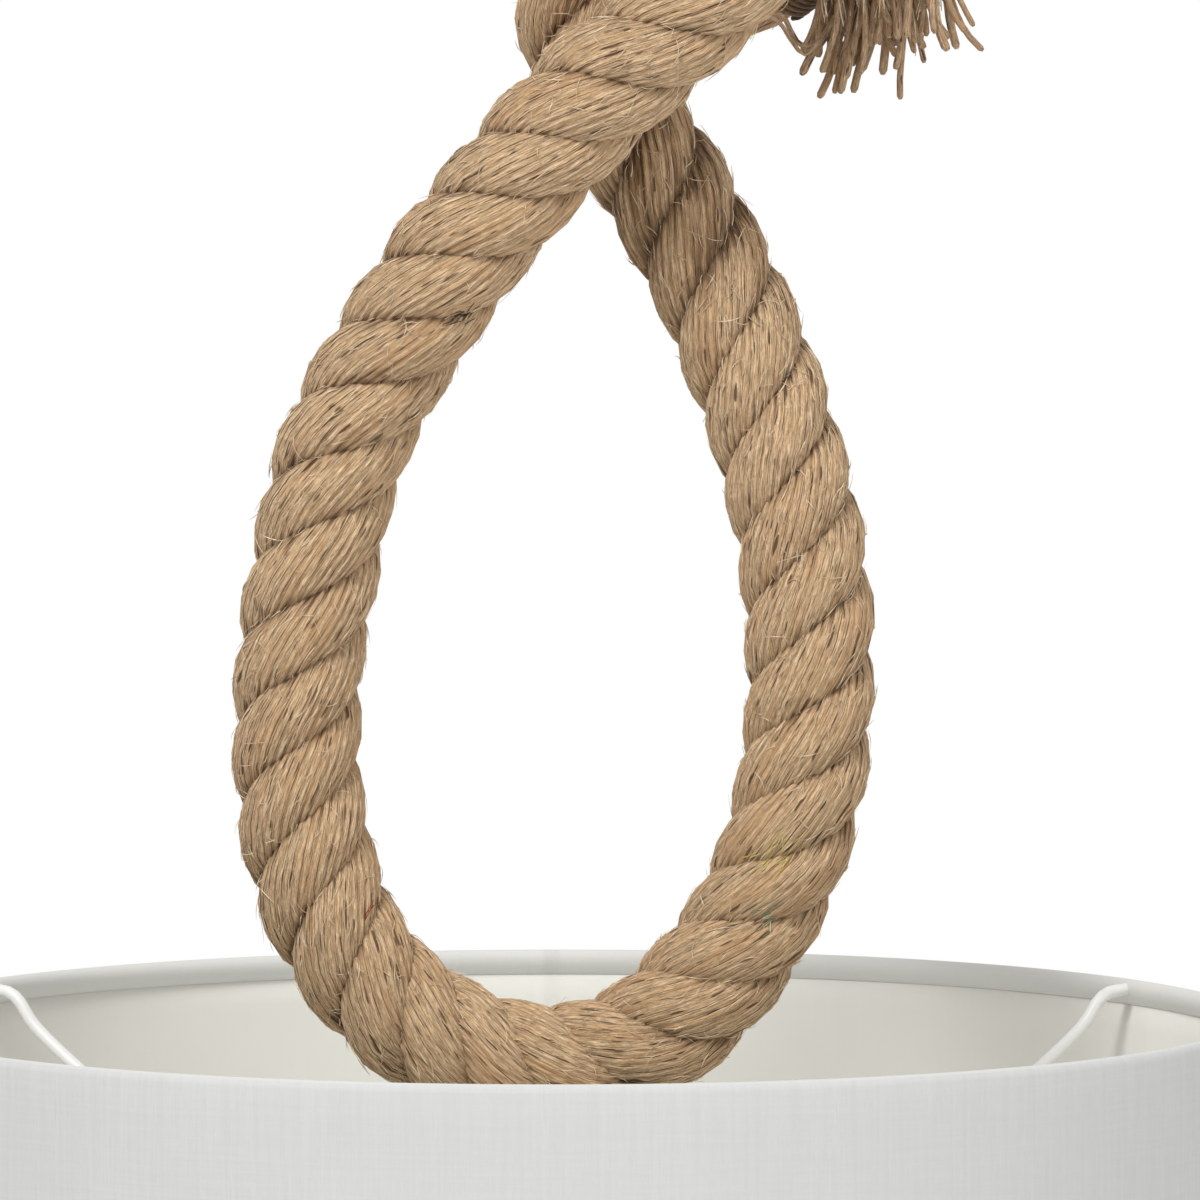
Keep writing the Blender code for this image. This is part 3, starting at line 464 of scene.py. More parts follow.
def makeDyed(piece):  # each fibre is laid on the rope's skin from the front
    c = dyedFibre
    rng = np.random.default_rng(c["seed"])
    skin = BVHTree.FromObject(piece, bpy.context.evaluated_depsgraph_get())
    for name, colour, (x, z), spread, slope, count, length in dyed:
        finish = Finish(name, "jute", Roughness=0.9)
        tone = finish.noise(finish.place(), 900, 2, 0.6)
        finish.wears(Base_Color=finish.mix(tone, colour, tuple(part * c["paler"] for part in colour)))
        lines = []
        for index in range(count):
            lean = slope + rng.normal(0, c["slopeVaries"])
            startX, startZ = x + rng.normal(0, spread), z + rng.normal(0, spread)
            line = []
            for t in np.linspace(-0.5, 0.5, c["points"]):
                across = startX + t * length * math.cos(lean)
                height = startZ + t * length * math.sin(lean) + rim
                hit, normal = skin.ray_cast(Vector((across, c["from"], height)), Vector((0, 1, 0)))[:2]
                if hit:
                    line.append(np.array(hit + normal * c["lift"]))
            if len(line) == c["points"]:
                lines.append(line)
        if lines:
            bundle(name, np.array(lines), [c["thick"]] * len(lines), 4, finish, 0.01)


# ---- the frayed end
mop = {"yarns": 66, "radius": (0.00085, 0.0014), "lead": 0.004, "bend": 0.018, "length": 0.073, "spread": 0.26,
       "goldenTurn": 2.39996, "reach": 0.86, "lengthVaries": 0.075, "rootOpen": 0.80, "curl": 0.0085,
       "curlVaries": 0.55, "wander": 0.0030, "rings": 18, "sides": 10, "seed": 23, "darkUntil": 0.62,
       "fine": 200, "fineRadius": (0.00012, 0.00024), "fineWander": 0.0050, "fineReach": 0.72}


def mopLines(count, seed, wander):  # over the rope's end and down, opening as they fall
    rng = np.random.default_rng(seed)
    end = ropeLine[-1]
    away = unit(ropeLine[-1] - ropeLine[-2])
    flat = unit(np.array([away[0], away[1], 0.0]))
    upward = np.array([0.0, 0.0, 1.0])
    across = np.cross(upward, flat)
    rise = math.asin(away[2])
    turn = np.arange(count) * mop["goldenTurn"] + rng.normal(0, 0.15, count)
    reach = np.sqrt((np.arange(count) + 0.5) / count) * mop["reach"]
    outer, side = reach * np.cos(turn), reach * np.sin(turn)
    varies = rng.normal(0, mop["lengthVaries"], count)
    length = mop["length"] * (1 - 0.10 * outer ** 2 - 0.07 * outer + varies)
    share = np.linspace(0, 1, mop["rings"])
    lines = []
    for k in range(count):
        along = share * length[k]
        fall = (along - mop["lead"]) / mop["bend"] * (1 - 0.10 * outer[k])
        angle = np.clip(rise - fall, math.radians(-86), rise)
        slope = np.cos(angle)[:, None] * flat + np.sin(angle)[:, None] * upward
        normal = -np.sin(angle)[:, None] * flat + np.cos(angle)[:, None] * upward
        step = np.diff(along, prepend=0)[:, None]
        middle = end + np.cumsum(slope * step, axis=0)
        opens = rope["radius"] * (mop["rootOpen"] + mop["spread"] * share ** 1.6)
        bow = outer[k] * (0.7 if outer[k] > 0 else 1.9) + rng.normal(0, mop["curlVaries"])
        curl = mop["curl"] * bow * share ** 3
        first, second = rng.uniform(0, 6, 2)
        sway = wander * (np.sin(share * 7 + first) - math.sin(first)) * share
        swing = wander * (np.sin(share * 6 + second) - math.sin(second)) * share
        middle[:, 2] += mop["curl"] * 0.45 * abs(bow) * share ** 5
        lines.append(middle + (outer[k] * opens + sway + curl)[:, None] * normal
                     + (side[k] * opens + swing + curl * side[k])[:, None] * across)
    return np.array(lines), outer


yarnEnd = {"blunt": 0.55, "bluntFrom": 0.97, "dark": 1.35, "darkest": 0.95, "layShift": 0.37}


def bundle(name, lines, radii, sides, finish, darkUntil):  # yarns along lines, with painted shade darkening them towards their roots
    count, rings = lines.shape[:2]
    points, faces, uvs, caps = [], [], [], []
    share = np.linspace(0, 1, rings)
    for k in range(count):
        first = k * rings * sides
        tip = np.array(lines[k])
        tip[-1] = tip[-2] + unit(tip[-1] - tip[-2]) * min(radii[k], np.linalg.norm(tip[-1] - tip[-2]))
        blunt = np.where(share > yarnEnd["bluntFrom"], yarnEnd["blunt"], 1) * radii[k]
        points.append(tubeRings(tip, blunt, sides).reshape(-1, 3))
        faces.append(ringFaces(rings, sides, first=first))
        along = np.r_[0, np.cumsum(np.linalg.norm(np.diff(lines[k], axis=0), axis=1))]
        uvs.append(tubeLay(along, math.tau * radii[k], sides, k * yarnEnd["layShift"]))
        caps += endCaps(rings, sides, first)
    # painted shade, deepest at the roots where the yarns arch over
    dark = np.repeat(np.clip(yarnEnd["dark"] - share / darkUntil, 0, 1) * yarnEnd["darkest"], sides)
    piece = makePiece(name, np.vstack(points), [tuple(f) for f in np.vstack(faces)] + caps, finish, "pendant")
    addLay(piece, np.vstack(uvs), np.tile(dark, count))
    return piece


def makeMop(finish, thin):
    lines, outer = mopLines(mop["yarns"], mop["seed"], mop["wander"])
    rng = np.random.default_rng(mop["seed"] + 1)
    radii = rng.uniform(*mop["radius"], mop["yarns"])
    yarns = bundle("frayedYarns", lines, radii, mop["sides"], finish, mop["darkUntil"])
    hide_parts("frayed_tail")
    fine, outer = mopLines(mop["fine"], mop["seed"] + 2, mop["fineWander"])
    fine = fine[np.abs(outer) < mop["fineReach"]]
    loose = bundle("frayedFibres", fine[:, :-3], rng.uniform(*mop["fineRadius"], len(fine)), 4, thin, 0.6)
    return yarns, loose


looseLoops = [  # two yarns pulled out under the tail, in metres from the middle of the shade's top edge
    [(0.060, 0.020, 0.3000), (0.0675, 0.016, 0.2995), (0.0705, 0.013, 0.2945), (0.0730, 0.011, 0.2907),
     (0.0765, 0.010, 0.2903), (0.0795, 0.010, 0.2925), (0.0840, 0.012, 0.3000)],
    [(0.058, 0.018, 0.3000), (0.0660, 0.012, 0.2980), (0.0700, 0.010, 0.2925), (0.0735, 0.009, 0.2880),
     (0.0762, 0.009, 0.2888), (0.0800, 0.010, 0.2935), (0.0860, 0.013, 0.3010)],
]


def makeLoops(finish):
    lines = []
    for route in looseLoops:
        line, along = smoothLine([(x, y, z + rim) for x, y, z in route], 0.0012)
        lines.append(line[np.linspace(0, len(line) - 1, 24).round().astype(int)])
    return bundle("looseYarns", np.array(lines), [0.00085, 0.0007], 8, finish, 0.01)


whipping = {"turns": 7, "twine": 0.0008, "clear": 0.0009, "fromEnd": 0.0096, "length": 0.0118, "steps": 40}


def makeWhipping(finish):  # twine bound round the tail
    turn = np.linspace(0, math.tau * whipping["turns"], whipping["turns"] * whipping["steps"])
    middle = ropeAlong[-1] - whipping["fromEnd"]
    along = middle + (turn / turn[-1] - 0.5) * (whipping["length"] - 2 * whipping["twine"])
    centre, side, across = (np.stack([np.interp(along, ropeAlong, part[:, k]) for k in range(3)], 1)
                            for part in (ropeLine, ropeSide, ropeAcross))
    radius = rope["radius"] + whipping["clear"] + whipping["twine"]
    line = centre + radius * (np.cos(turn)[:, None] * unit(side) + np.sin(turn)[:, None] * unit(across))
    piece = bundle("tailBinding", line[None], [whipping["twine"]], 10, finish, 0.01)
    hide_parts("tail_whipping")
    return piece


# the dark tones for gaps and hollows are painted shade, the fuzz tone is hollow fuzz darkened by painted shade,
# and the last is a real reddish tint
fibreTone = {"slitShade": (0.095, 0.044, 0.017), "hollowShade": (0.040, 0.017, 0.006), "shadedFuzz": (0.29, 0.162, 0.076),
             "rusty": (0.92, 0.78, 0.66)}


def fibreFinish(name, slot, dark, middle, light, yarn, lines=1.0):
    finish = Finish(name, slot, Roughness=0.92, Specular_IOR_Level=0.12, Sheen_Weight=0.1,
                    Sheen_Roughness=0.5)
    lay = finish.along("lay")
    across = finish.part(lay, "Y")
    wander = finish.noise(finish.scaled(lay, 45, 160, 1), 1.0, 2, 0.5)
    fibre = finish.noise(finish.scaled(lay, 260, 2300, 1), 1.0, 3, 0.75)
    patch = finish.noise(finish.scaled(lay, 24, 150, 1), 1.0, 2, 0.5)
    broken = finish.noise(finish.scaled(lay, 95, 480, 1), 1.0, 2, 0.6)

    def threads(count, shift, width):  # painted shade: dark lines in the gaps between the yarns, or within them
        place = across * (count / yarn) + wander * 0.5 * count + shift
        cycle = finish.node("ShaderNodeMath", {"operation": "FRACT"}, {0: place})
        return finish.step(finish.away(cycle, 0.5), 0.5 - width * count, 0.5 - width * count * 0.25)

    between = threads(1, 0.0, 0.060) * finish.step(broken, 0.42, 0.56)
    within = threads(2, 0.37, 0.036) * finish.step(broken, 0.55, 0.44)
    hair = finish.noise(finish.scaled(lay, 260, 1200, 1), 1.0, 1, 0.4, 1.4)
    pale = finish.step(finish.away(hair, 0.5), 0.035, 0.008)
    # painted shade in the hollows between strands and at the mop's roots, broken up by darkened brown fuzz
    deep = finish.value("valley")
    hollowShadeMask = finish.step(deep + (fibre - 0.5) * 1.2 + (broken - 0.5) + (patch - 0.5) * 0.8, 0.26, 0.60)
    ground = finish.ramp(fibre, (0.37, dark), (0.5, middle), (0.62, light))
    rust = tuple(c * k for c, k in zip(middle, fibreTone["rusty"]))
    # painted shade in short slits between fibres
    slitShade = finish.step(finish.noise(finish.scaled(lay, 130, 800, 1), 1.0, 1, 0.5), 0.35, 0.30)
    tinted = finish.mix(finish.step(patch, 0.45, 0.72, 0, 0.55), ground, rust)
    combed = finish.mix(pale * 0.55, tinted, light)
    # the painted shade of the yarn gaps and slits laid over the fibre colour
    cut = finish.mix((between * 0.78 + within * 0.42) * lines + slitShade * 0.85, combed, fibreTone["slitShade"])
    hollowShade = finish.mix(finish.step(fibre, 0.38, 0.66), fibreTone["hollowShade"], fibreTone["shadedFuzz"])
    finish.wears(Base_Color=finish.mix(hollowShadeMask * 0.88, cut, hollowShade))
    grooves = (between + within * 0.5) * 0.8 * lines + slitShade * 0.8
    return finish.relief(fibre * 0.7 + pale * 0.4 - grooves, 0.0007)


def hairFinish():
    finish = Finish("looseFibre", "jute", Roughness=0.8, Specular_IOR_Level=0.2)
    tone = finish.noise(finish.place(), 260, 2, 0.6)
    finish.wears(Base_Color=finish.ramp(tone, (0.35, (0.50, 0.35, 0.20)), (0.62, (0.88, 0.73, 0.53))))
    return finish.relief(finish.noise(finish.place(), 4000, 1, 0.5), 0.00005)


yarnWide = math.tau * rope["strandWide"] / rope["yarns"]
jute = fibreFinish("laidJute", "jute", (0.33, 0.20, 0.098), (0.605, 0.405, 0.230), (0.83, 0.61, 0.385),
                   yarnWide)
combed = fibreFinish("combedJute", "jute", (0.33, 0.20, 0.105), (0.57, 0.375, 0.22), (0.76, 0.55, 0.35),
                     0.0009, 0.5)
twine = fibreFinish("boundTwine", "twine", (0.20, 0.12, 0.06), (0.33, 0.22, 0.125), (0.43, 0.31, 0.19),
                    0.0008, 0.7)
looseFibre = hairFinish()
strands = makeStrands()
laidRope = makeRope(jute, strands)
makeHairs(looseFibre, strands)
makeDyed(laidRope)
frayed = makeMop(combed, looseFibre)
loops = makeLoops(combed)
binding = makeWhipping(twine)
print("rope is laid, with its frayed end")


# ---- turned and bent hardware
def rounded(profile, radius, closed=True):  # a profile with its corners eased
    points = [np.array(p, float) for p in profile]
    eased = []
    ease = (0, 0.25, 0.5, 0.75, 1)
    for index, corner in enumerate(points):
        if not closed and index in (0, len(points) - 1):
            eased.append(corner)
            continue
        before, after = points[index - 1], points[(index + 1) % len(points)]
        cut = [min(radius, 0.4 * np.linalg.norm(other - corner)) for other in (before, after)]
        start, end = (corner + (other - corner) / max(np.linalg.norm(other - corner), 1e-9) * c
                      for other, c in zip((before, after), cut))
        for t in ease:
            eased.append(start * (1 - t) ** 2 + corner * 2 * t * (1 - t) + end * t ** 2)
    return eased


def turnedShape(profile, sides=96, closed=True, shape=None):  # points and faces turned about Z
    profile = np.array(profile, float)
    theta = np.linspace(0, math.tau, sides, endpoint=False)[None, :]
    radius = profile[:, :1] * np.ones_like(theta)
    height = profile[:, 1:] * np.ones_like(theta)
    if shape:
        radius = shape(theta, radius, height)
    points = np.stack([radius * np.cos(theta), radius * np.sin(theta), height], -1).reshape(-1, 3)
    faces = ringFaces(len(profile), sides)
    if closed:
        last = (len(profile) - 1) * sides
        j = np.arange(sides)
        faces = np.vstack([faces, np.stack([last + j, last + (j + 1) % sides, (j + 1) % sides, j], -1)])
    return points, faces


def laidAlong(points, at=(0, 0, 0), axis=(0, 0, 1)):  # +Z turned to an axis, and moved
    turn = np.array(Vector((0, 0, 1)).rotation_difference(Vector(axis)).to_matrix())
    return points @ turn.T + np.array(at)


def joined(*shapes):
    points, faces, first = [], [], 0
    for some, quads in shapes:
        points.append(some)
        faces += [tuple(int(i) + first for i in quad) for quad in quads]
        first += len(some)
    return np.vstack(points), faces


roundEnd = (0.5, 1.0, 1.45)  # the angles of the rings that round a wire's end


def bentShape(line, radius, sides=20, start=(0.0, -1.0, 0.0)):  # a wire along a line, with round ends
    line = np.array(line, float)
    radii = np.full(len(line), radius)
    ends = []
    for point, near in ((line[0], line[1]), (line[-1], line[-2])):
        outward = unit(point - near)
        ends.append([point + outward * radius * math.sin(a) for a in roundEnd])
    line = np.vstack([ends[0][::-1], line, ends[1]])
    small = [radius * math.cos(a) for a in roundEnd]
    rings = tubeRings(line, np.r_[small[::-1], radii, small], sides, start)
    return rings.reshape(-1, 3), [tuple(f) for f in ringFaces(len(line), sides)] + endCaps(len(line), sides)


def standIn(name, shape, finish, *nodes):  # a finer piece in the place of CAD nodes
    piece = makePiece(name, *shape, finish, bodyOf(nodes[0]), tidy=True)
    piece.data.set_sharp_from_angle(angle=math.radians(38))
    even = piece.modifiers.new("even", "WEIGHTED_NORMAL")
    even.keep_sharp = True
    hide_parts(*nodes)
    return piece


def hexagon(theta, flats):  # the radius of a hexagon, given half its width across flats
    return flats / np.cos((theta + math.pi / 6) % (math.pi / 3) - math.pi / 6)


nutCut = {"bore": 0.0004, "corner": 1.03, "slope": 1.5}


def nutShape(bore, flats, thick):  # a chamfered nut from height 0 down
    cut = nutCut["bore"]
    outside = [(flats, -thick * t) for t in np.linspace(0, 1, 9)]
    profile = [(bore + cut, 0)] + outside + [(bore + cut, -thick), (bore, -thick + cut), (bore, -cut)]

    def shape(theta, radius, height):
        edge = np.minimum(-height, thick + height)
        cone = flats * nutCut["corner"] + edge * nutCut["slope"]
        return np.where(radius > flats * 0.99, np.minimum(hexagon(theta, flats), cone), radius)

    return turnedShape(profile, 120, True, shape)


def socketHead(inner, outer, flats):  # the hexagonal socket in a screw's head
    def shape(theta, radius, height):
        return np.where((radius > inner) & (radius < outer), hexagon(theta, flats), radius)

    return shape


def divided(profile, longest, below=math.inf):  # no step of the profile longer than this, up to a height
    fine = []
    for a, b in zip(profile, profile[1:]):
        parts = max(1, int(np.linalg.norm(b - a) / longest)) if max(a[1], b[1]) <= below else 1
        fine += [a + (b - a) * t for t in np.linspace(0, 1, parts, endpoint=False)]
    return fine + [profile[-1]]


def metalFinish(name, dark, light, rough, wearAndShadow):
    finish = Finish(name, Metallic=1.0)
    where = finish.place()
    cloud = finish.noise(where, 60, 4, 0.6)
    grain = finish.noise(where, 1400, 2, 0.6)
    rub = finish.step(finish.noise(where, 170, 4, 0.7), 0.56, 0.74)
    base = finish.mix(finish.step(cloud, 0.3, 0.7), dark, light)
    finish.wears(Base_Color=finish.mix(rub * 0.55, base, wearAndShadow),
                 Roughness=rough + (cloud - 0.5) * 0.25 - rub * 0.08)
    return finish.relief(grain * 0.4 + cloud * 0.6, 0.00008)


def plasticFinish():
    finish = Finish("black_plastic", Specular_IOR_Level=0.5)
    where = finish.place()
    grain = finish.noise(where, 2200, 2, 0.5)
    cloud = finish.noise(where, 70, 3, 0.6)
    dust = finish.step(finish.noise(where, 380, 3, 0.7), 0.6, 0.8)
    finish.wears(Base_Color=finish.mix(dust * 0.3, (0.016, 0.016, 0.017), (0.07, 0.068, 0.065)),
                 Roughness=0.34 + (cloud - 0.5) * 0.2 + dust * 0.2)
    return finish.relief(grain, 0.00005)


def ceramicFinish():
    finish = Finish("white_ceramic", Coat_Weight=0.4, Coat_Roughness=0.08)
    where = finish.place()
    speck = finish.step(finish.noise(where, 900, 2, 0.5), 0.7, 0.78)
    cloud = finish.noise(where, 40, 3, 0.5)
    glaze = finish.mix(cloud, (0.84, 0.83, 0.79), (0.78, 0.765, 0.72))
    finish.wears(Base_Color=finish.mix(speck * 0.5, glaze, (0.45, 0.40, 0.33)), Roughness=0.22 + cloud * 0.15)
    return finish.relief(cloud, 0.0002)


def opalFinish():
    finish = Finish("opal_glass", Specular_IOR_Level=0.55, Coat_Weight=0.5, Coat_Roughness=0.04,
                    Subsurface_Weight=0.35, Subsurface_Radius=(0.02, 0.02, 0.02), Subsurface_Scale=0.3)
    where = finish.place()
    cloud = finish.noise(where, 24, 3, 0.5)
    neck = finish.step(finish.part(where, "Z"), lampNeck - 0.018, lampNeck)
    glass = finish.mix(cloud, (0.90, 0.90, 0.88), (0.85, 0.85, 0.825))
    finish.wears(Base_Color=finish.mix(neck * 0.6, glass, (0.70, 0.69, 0.65)), Roughness=0.12 + cloud * 0.08)
    return finish.relief(finish.noise(where, 90, 2, 0.5), 0.00004)


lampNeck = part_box("lamp_glass")[1].z
blackSteel = metalFinish("blackened_steel", (0.028, 0.026, 0.025), (0.070, 0.065, 0.060), 0.46,
                         (0.20, 0.185, 0.17))
brass = metalFinish("brass", (0.60, 0.42, 0.17), (0.78, 0.58, 0.27), 0.30, (0.42, 0.27, 0.12))
nickel = metalFinish("nickel", (0.62, 0.61, 0.58), (0.76, 0.75, 0.72), 0.24, (0.45, 0.44, 0.42))
plastic = plasticFinish()
ceramic = ceramicFinish()
opal = opalFinish()

ceilingSet = {"plate": 0.050, "thick": 0.004, "boss": 0.012, "screwCircle": 0.036, "screw": 0.0045,
              "hookWire": 0.0035, "hookBend": 0.0125, "hookMouth": 25, "nutFlats": 0.0065}


def makeCeilingSet():
    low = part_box("ceiling_plate")[0].z
    c = ceilingSet
    bore = c["hookWire"] + 0.0003
    profile = [(bore, -0.0012), (bore, low), (c["boss"], low), (c["boss"], -c["thick"] - 0.001),
               (c["boss"] + 0.002, -c["thick"]), (c["plate"] - 0.0016, -c["thick"]),
               (c["plate"], -c["thick"] * 0.6), (c["plate"], 0), (0.0, 0)]
    shape = rounded([(0, -0.0012)] + profile, 0.0007, closed=False)
    standIn("ceilingPlate", turnedShape(shape, 160, False), blackSteel, "ceiling_plate")
    for index in range(3):
        angle = math.radians(90 + index * 120)
        head = c["screw"]
        screw = [(0, -0.0017), (0.0011, -0.0017), (0.0012, -0.0028), (0.0025, -0.0026),
                 (head - 0.0002, -0.0016), (head, -0.0003), (head, 0), (0, 0)]
        socket = socketHead(0.0005, 0.0013, 0.0011)
        points, faces = turnedShape(rounded(screw, 0.0002, closed=False), 48, False, socket)
        at = (c["screwCircle"] * math.cos(angle), c["screwCircle"] * math.sin(angle), -c["thick"] - 0.0003)
        node = f"plate_screw_{index + 1}"
        standIn(f"plateScrew{index + 1}", (laidAlong(points, at), faces), blackSteel, node)
    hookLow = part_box("ceiling_hook")[0].z
    centre = hookLow + c["hookWire"] + c["hookBend"]
    shank = low - 0.018
    line = [(0, 0, low + 0.004), (0, 0, shank)]
    line += [(0, c["hookBend"] * (1 - math.cos(math.pi * t)) / 2, shank + (centre - shank) * t)
             for t in np.linspace(0.06, 0.94, 14)]
    line += [(0, c["hookBend"] * math.cos(a), centre - c["hookBend"] * math.sin(a))
             for a in np.radians(np.linspace(0, 180 + c["hookMouth"], 34))]
    standIn("ceilingHook", bentShape(line, c["hookWire"], 28, (1.0, 0, 0)), blackSteel, "ceiling_hook")
    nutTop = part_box("hook_nut")[1].z
    points, faces = nutShape(bore, c["nutFlats"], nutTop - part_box("hook_nut")[0].z)
    standIn("hookNut", (points + (0, 0, nutTop), faces), blackSteel, "hook_nut")


shackleSet = {"wire": 0.003, "bend": 0.0105, "ear": 0.0078, "pin": 0.004, "nutFlats": 0.006, "head": 0.0062}


def makeShackle():
    c = shackleSet
    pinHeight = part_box("swivel_eye")[1].z - eyeSet["radius"]
    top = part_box("shackle_bow")[1].z
    middle = top - c["wire"] - c["bend"]
    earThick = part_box("shackle_bow")[1].x - c["bend"]
    half = np.linspace(0, math.pi, 29)
    arc = [(c["bend"] * math.cos(a), 0, middle + c["bend"] * math.sin(a)) for a in half]
    line = [(c["bend"], 0, pinHeight + 0.006)] + arc + [(-c["bend"], 0, pinHeight + 0.006)]
    ear = rounded([(c["pin"] + 0.0003, earThick), (c["ear"], earThick), (c["ear"], -earThick),
                   (c["pin"] + 0.0003, -earThick)], 0.0008)
    points, faces = turnedShape(ear, 64)
    ears = [(laidAlong(points, (side * c["bend"], 0, pinHeight), (1, 0, 0)), faces) for side in (-1, 1)]
    standIn("shackleBow", joined(bentShape(line, c["wire"], 28), *ears), blackSteel, "shackle_bow")
    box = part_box("shackle_pin")
    outside = c["bend"] + earThick + 0.0003
    pin = rounded([(0, box[1].x), (c["head"] - 0.001, box[1].x), (c["head"], box[1].x - 0.001),
                   (c["head"], outside), (c["pin"], outside), (c["pin"], box[0].x + 0.0008),
                   (c["pin"] - 0.0008, box[0].x), (0, box[0].x)], 0.0004, closed=False)

    def thread(theta, radius, height):
        cutIn = 0.00028 * (0.5 + 0.5 * np.cos(math.tau * (height / 0.0009 - theta / math.tau)))
        return np.where((height < -outside) & (radius > c["pin"] * 0.7), radius - cutIn, radius)

    points, faces = turnedShape(divided(pin, 0.00022, -outside + 0.001), 64, False, thread)
    standIn("shacklePin", (laidAlong(points, (0, 0, pinHeight), (1, 0, 0)), faces), blackSteel, "shackle_pin")
    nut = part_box("shackle_nut")
    points, faces = nutShape(c["pin"] + 0.0003, c["nutFlats"], nut[1].x - nut[0].x)
    points = laidAlong(points, (nut[0].x, 0, pinHeight), (-1, 0, 0))
    standIn("shackleNut", (points, faces), blackSteel, "shackle_nut")


eyeSet = {"radius": 0.010, "thick": 0.009, "bore": 0.0043, "stem": 0.004, "nutFlats": 0.0065,
          "nippleBore": 0.0034, "locknutFlats": 0.008}


def makeEye():
    c = eyeSet
    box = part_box("swivel_eye")
    height = box[1].z - c["radius"]
    half = c["thick"] / 2
    ring = rounded([(c["bore"], half), (c["radius"] - 0.0012, half), (c["radius"], half - 0.0018),
                    (c["radius"], -half + 0.0018), (c["radius"] - 0.0012, -half), (c["bore"], -half)], 0.0011)
    points, faces = turnedShape(ring, 96)
    eye = (laidAlong(points, (0, 0, height), (1, 0, 0)), faces)
    stem = [(0, height - c["radius"] * 0.75), (c["stem"] + 0.0014, height - c["radius"] * 0.80),
            (c["stem"], height - c["radius"] - 0.0012), (c["stem"], box[0].z), (0, box[0].z)]
    stem = turnedShape(rounded(stem, 0.0008, closed=False), 48, False)
    standIn("swivelEye", joined(eye, stem), blackSteel, "swivel_eye")
    collars = (("swivelWasher", "swivel_washer", c["stem"] + 0.0003, blackSteel),
               ("hangerNipple", "hanger_nipple", c["nippleBore"], brass))
    for name, node, bore, finish in collars:
        low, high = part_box(node)
        shape = rounded([(bore, high.z), (high.x, high.z), (high.x, low.z), (bore, low.z)], 0.0003)
        standIn(name, turnedShape(shape, 72), finish, node)
    nuts = (("swivelNut", "swivel_nut", c["bore"], c["nutFlats"]),
            ("hangerLocknut", "hanger_locknut", c["nippleBore"] + 0.0019, c["locknutFlats"]))
    for name, node, bore, flats in nuts:
        low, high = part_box(node)
        points, faces = nutShape(bore, flats, high.z - low.z)
        standIn(name, (points + (0, 0, high.z), faces), blackSteel, node)


capSet = {"inner": 0.0201, "wall": 0.004, "top": 0.006, "hole": 0.0043}


def makeRopeCap():
    c = capSet
    low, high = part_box("rope_cap")[0].z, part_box("rope_cap")[1].z
    outer = c["inner"] + c["wall"]
    profile = [(c["hole"], high), (outer * 0.45, high), (outer * 0.86, high - 0.004), (outer, high - 0.011),
               (outer, low + 0.006), (outer + 0.0015, low + 0.0045), (outer + 0.0015, low + 0.001),
               (outer + 0.0005, low), (c["inner"], low), (c["inner"], high - 0.011),
               (outer * 0.6, high - c["top"]), (c["hole"], high - c["top"])]
    standIn("ropeCap", turnedShape(rounded(profile, 0.0016), 144), blackSteel, "rope_cap")
    for index in range(2):
        side = 1 - 2 * index
        node = f"cap_screw_{index + 1}"
        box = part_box(node)
        far = max(abs(box[0].x), abs(box[1].x))
        near = min(abs(box[0].x), abs(box[1].x))
        screw = [(0, far - 0.0016), (0.0013, far - 0.0016), (0.0013, far), (0.0022, far),
                 (0.0025, far - 0.0004), (0.0025, near), (0, near)]
        socket = socketHead(0.0008, 0.0016, 0.0012)
        points, faces = turnedShape(rounded(screw, 0.0002, closed=False), 48, False, socket)
        at = (0, 0, (box[0].z + box[1].z) / 2)
        standIn(f"capScrew{index + 1}", (laidAlong(points, at, (side, 0.0001, 0)), faces), blackSteel, node)


holderSet = {"radius": 0.0195, "bore": 0.0164, "wall": 0.0025, "neck": 0.0105, "hole": 0.0053, "flange": 0.024,
             "threadPitch": 0.0016, "threadDepth": 0.0007, "ring": 0.0265, "ringBore": 0.0198, "ribs": 24,
             "rib": 0.0010, "inletBore": 0.0028, "inlet": 0.0058}


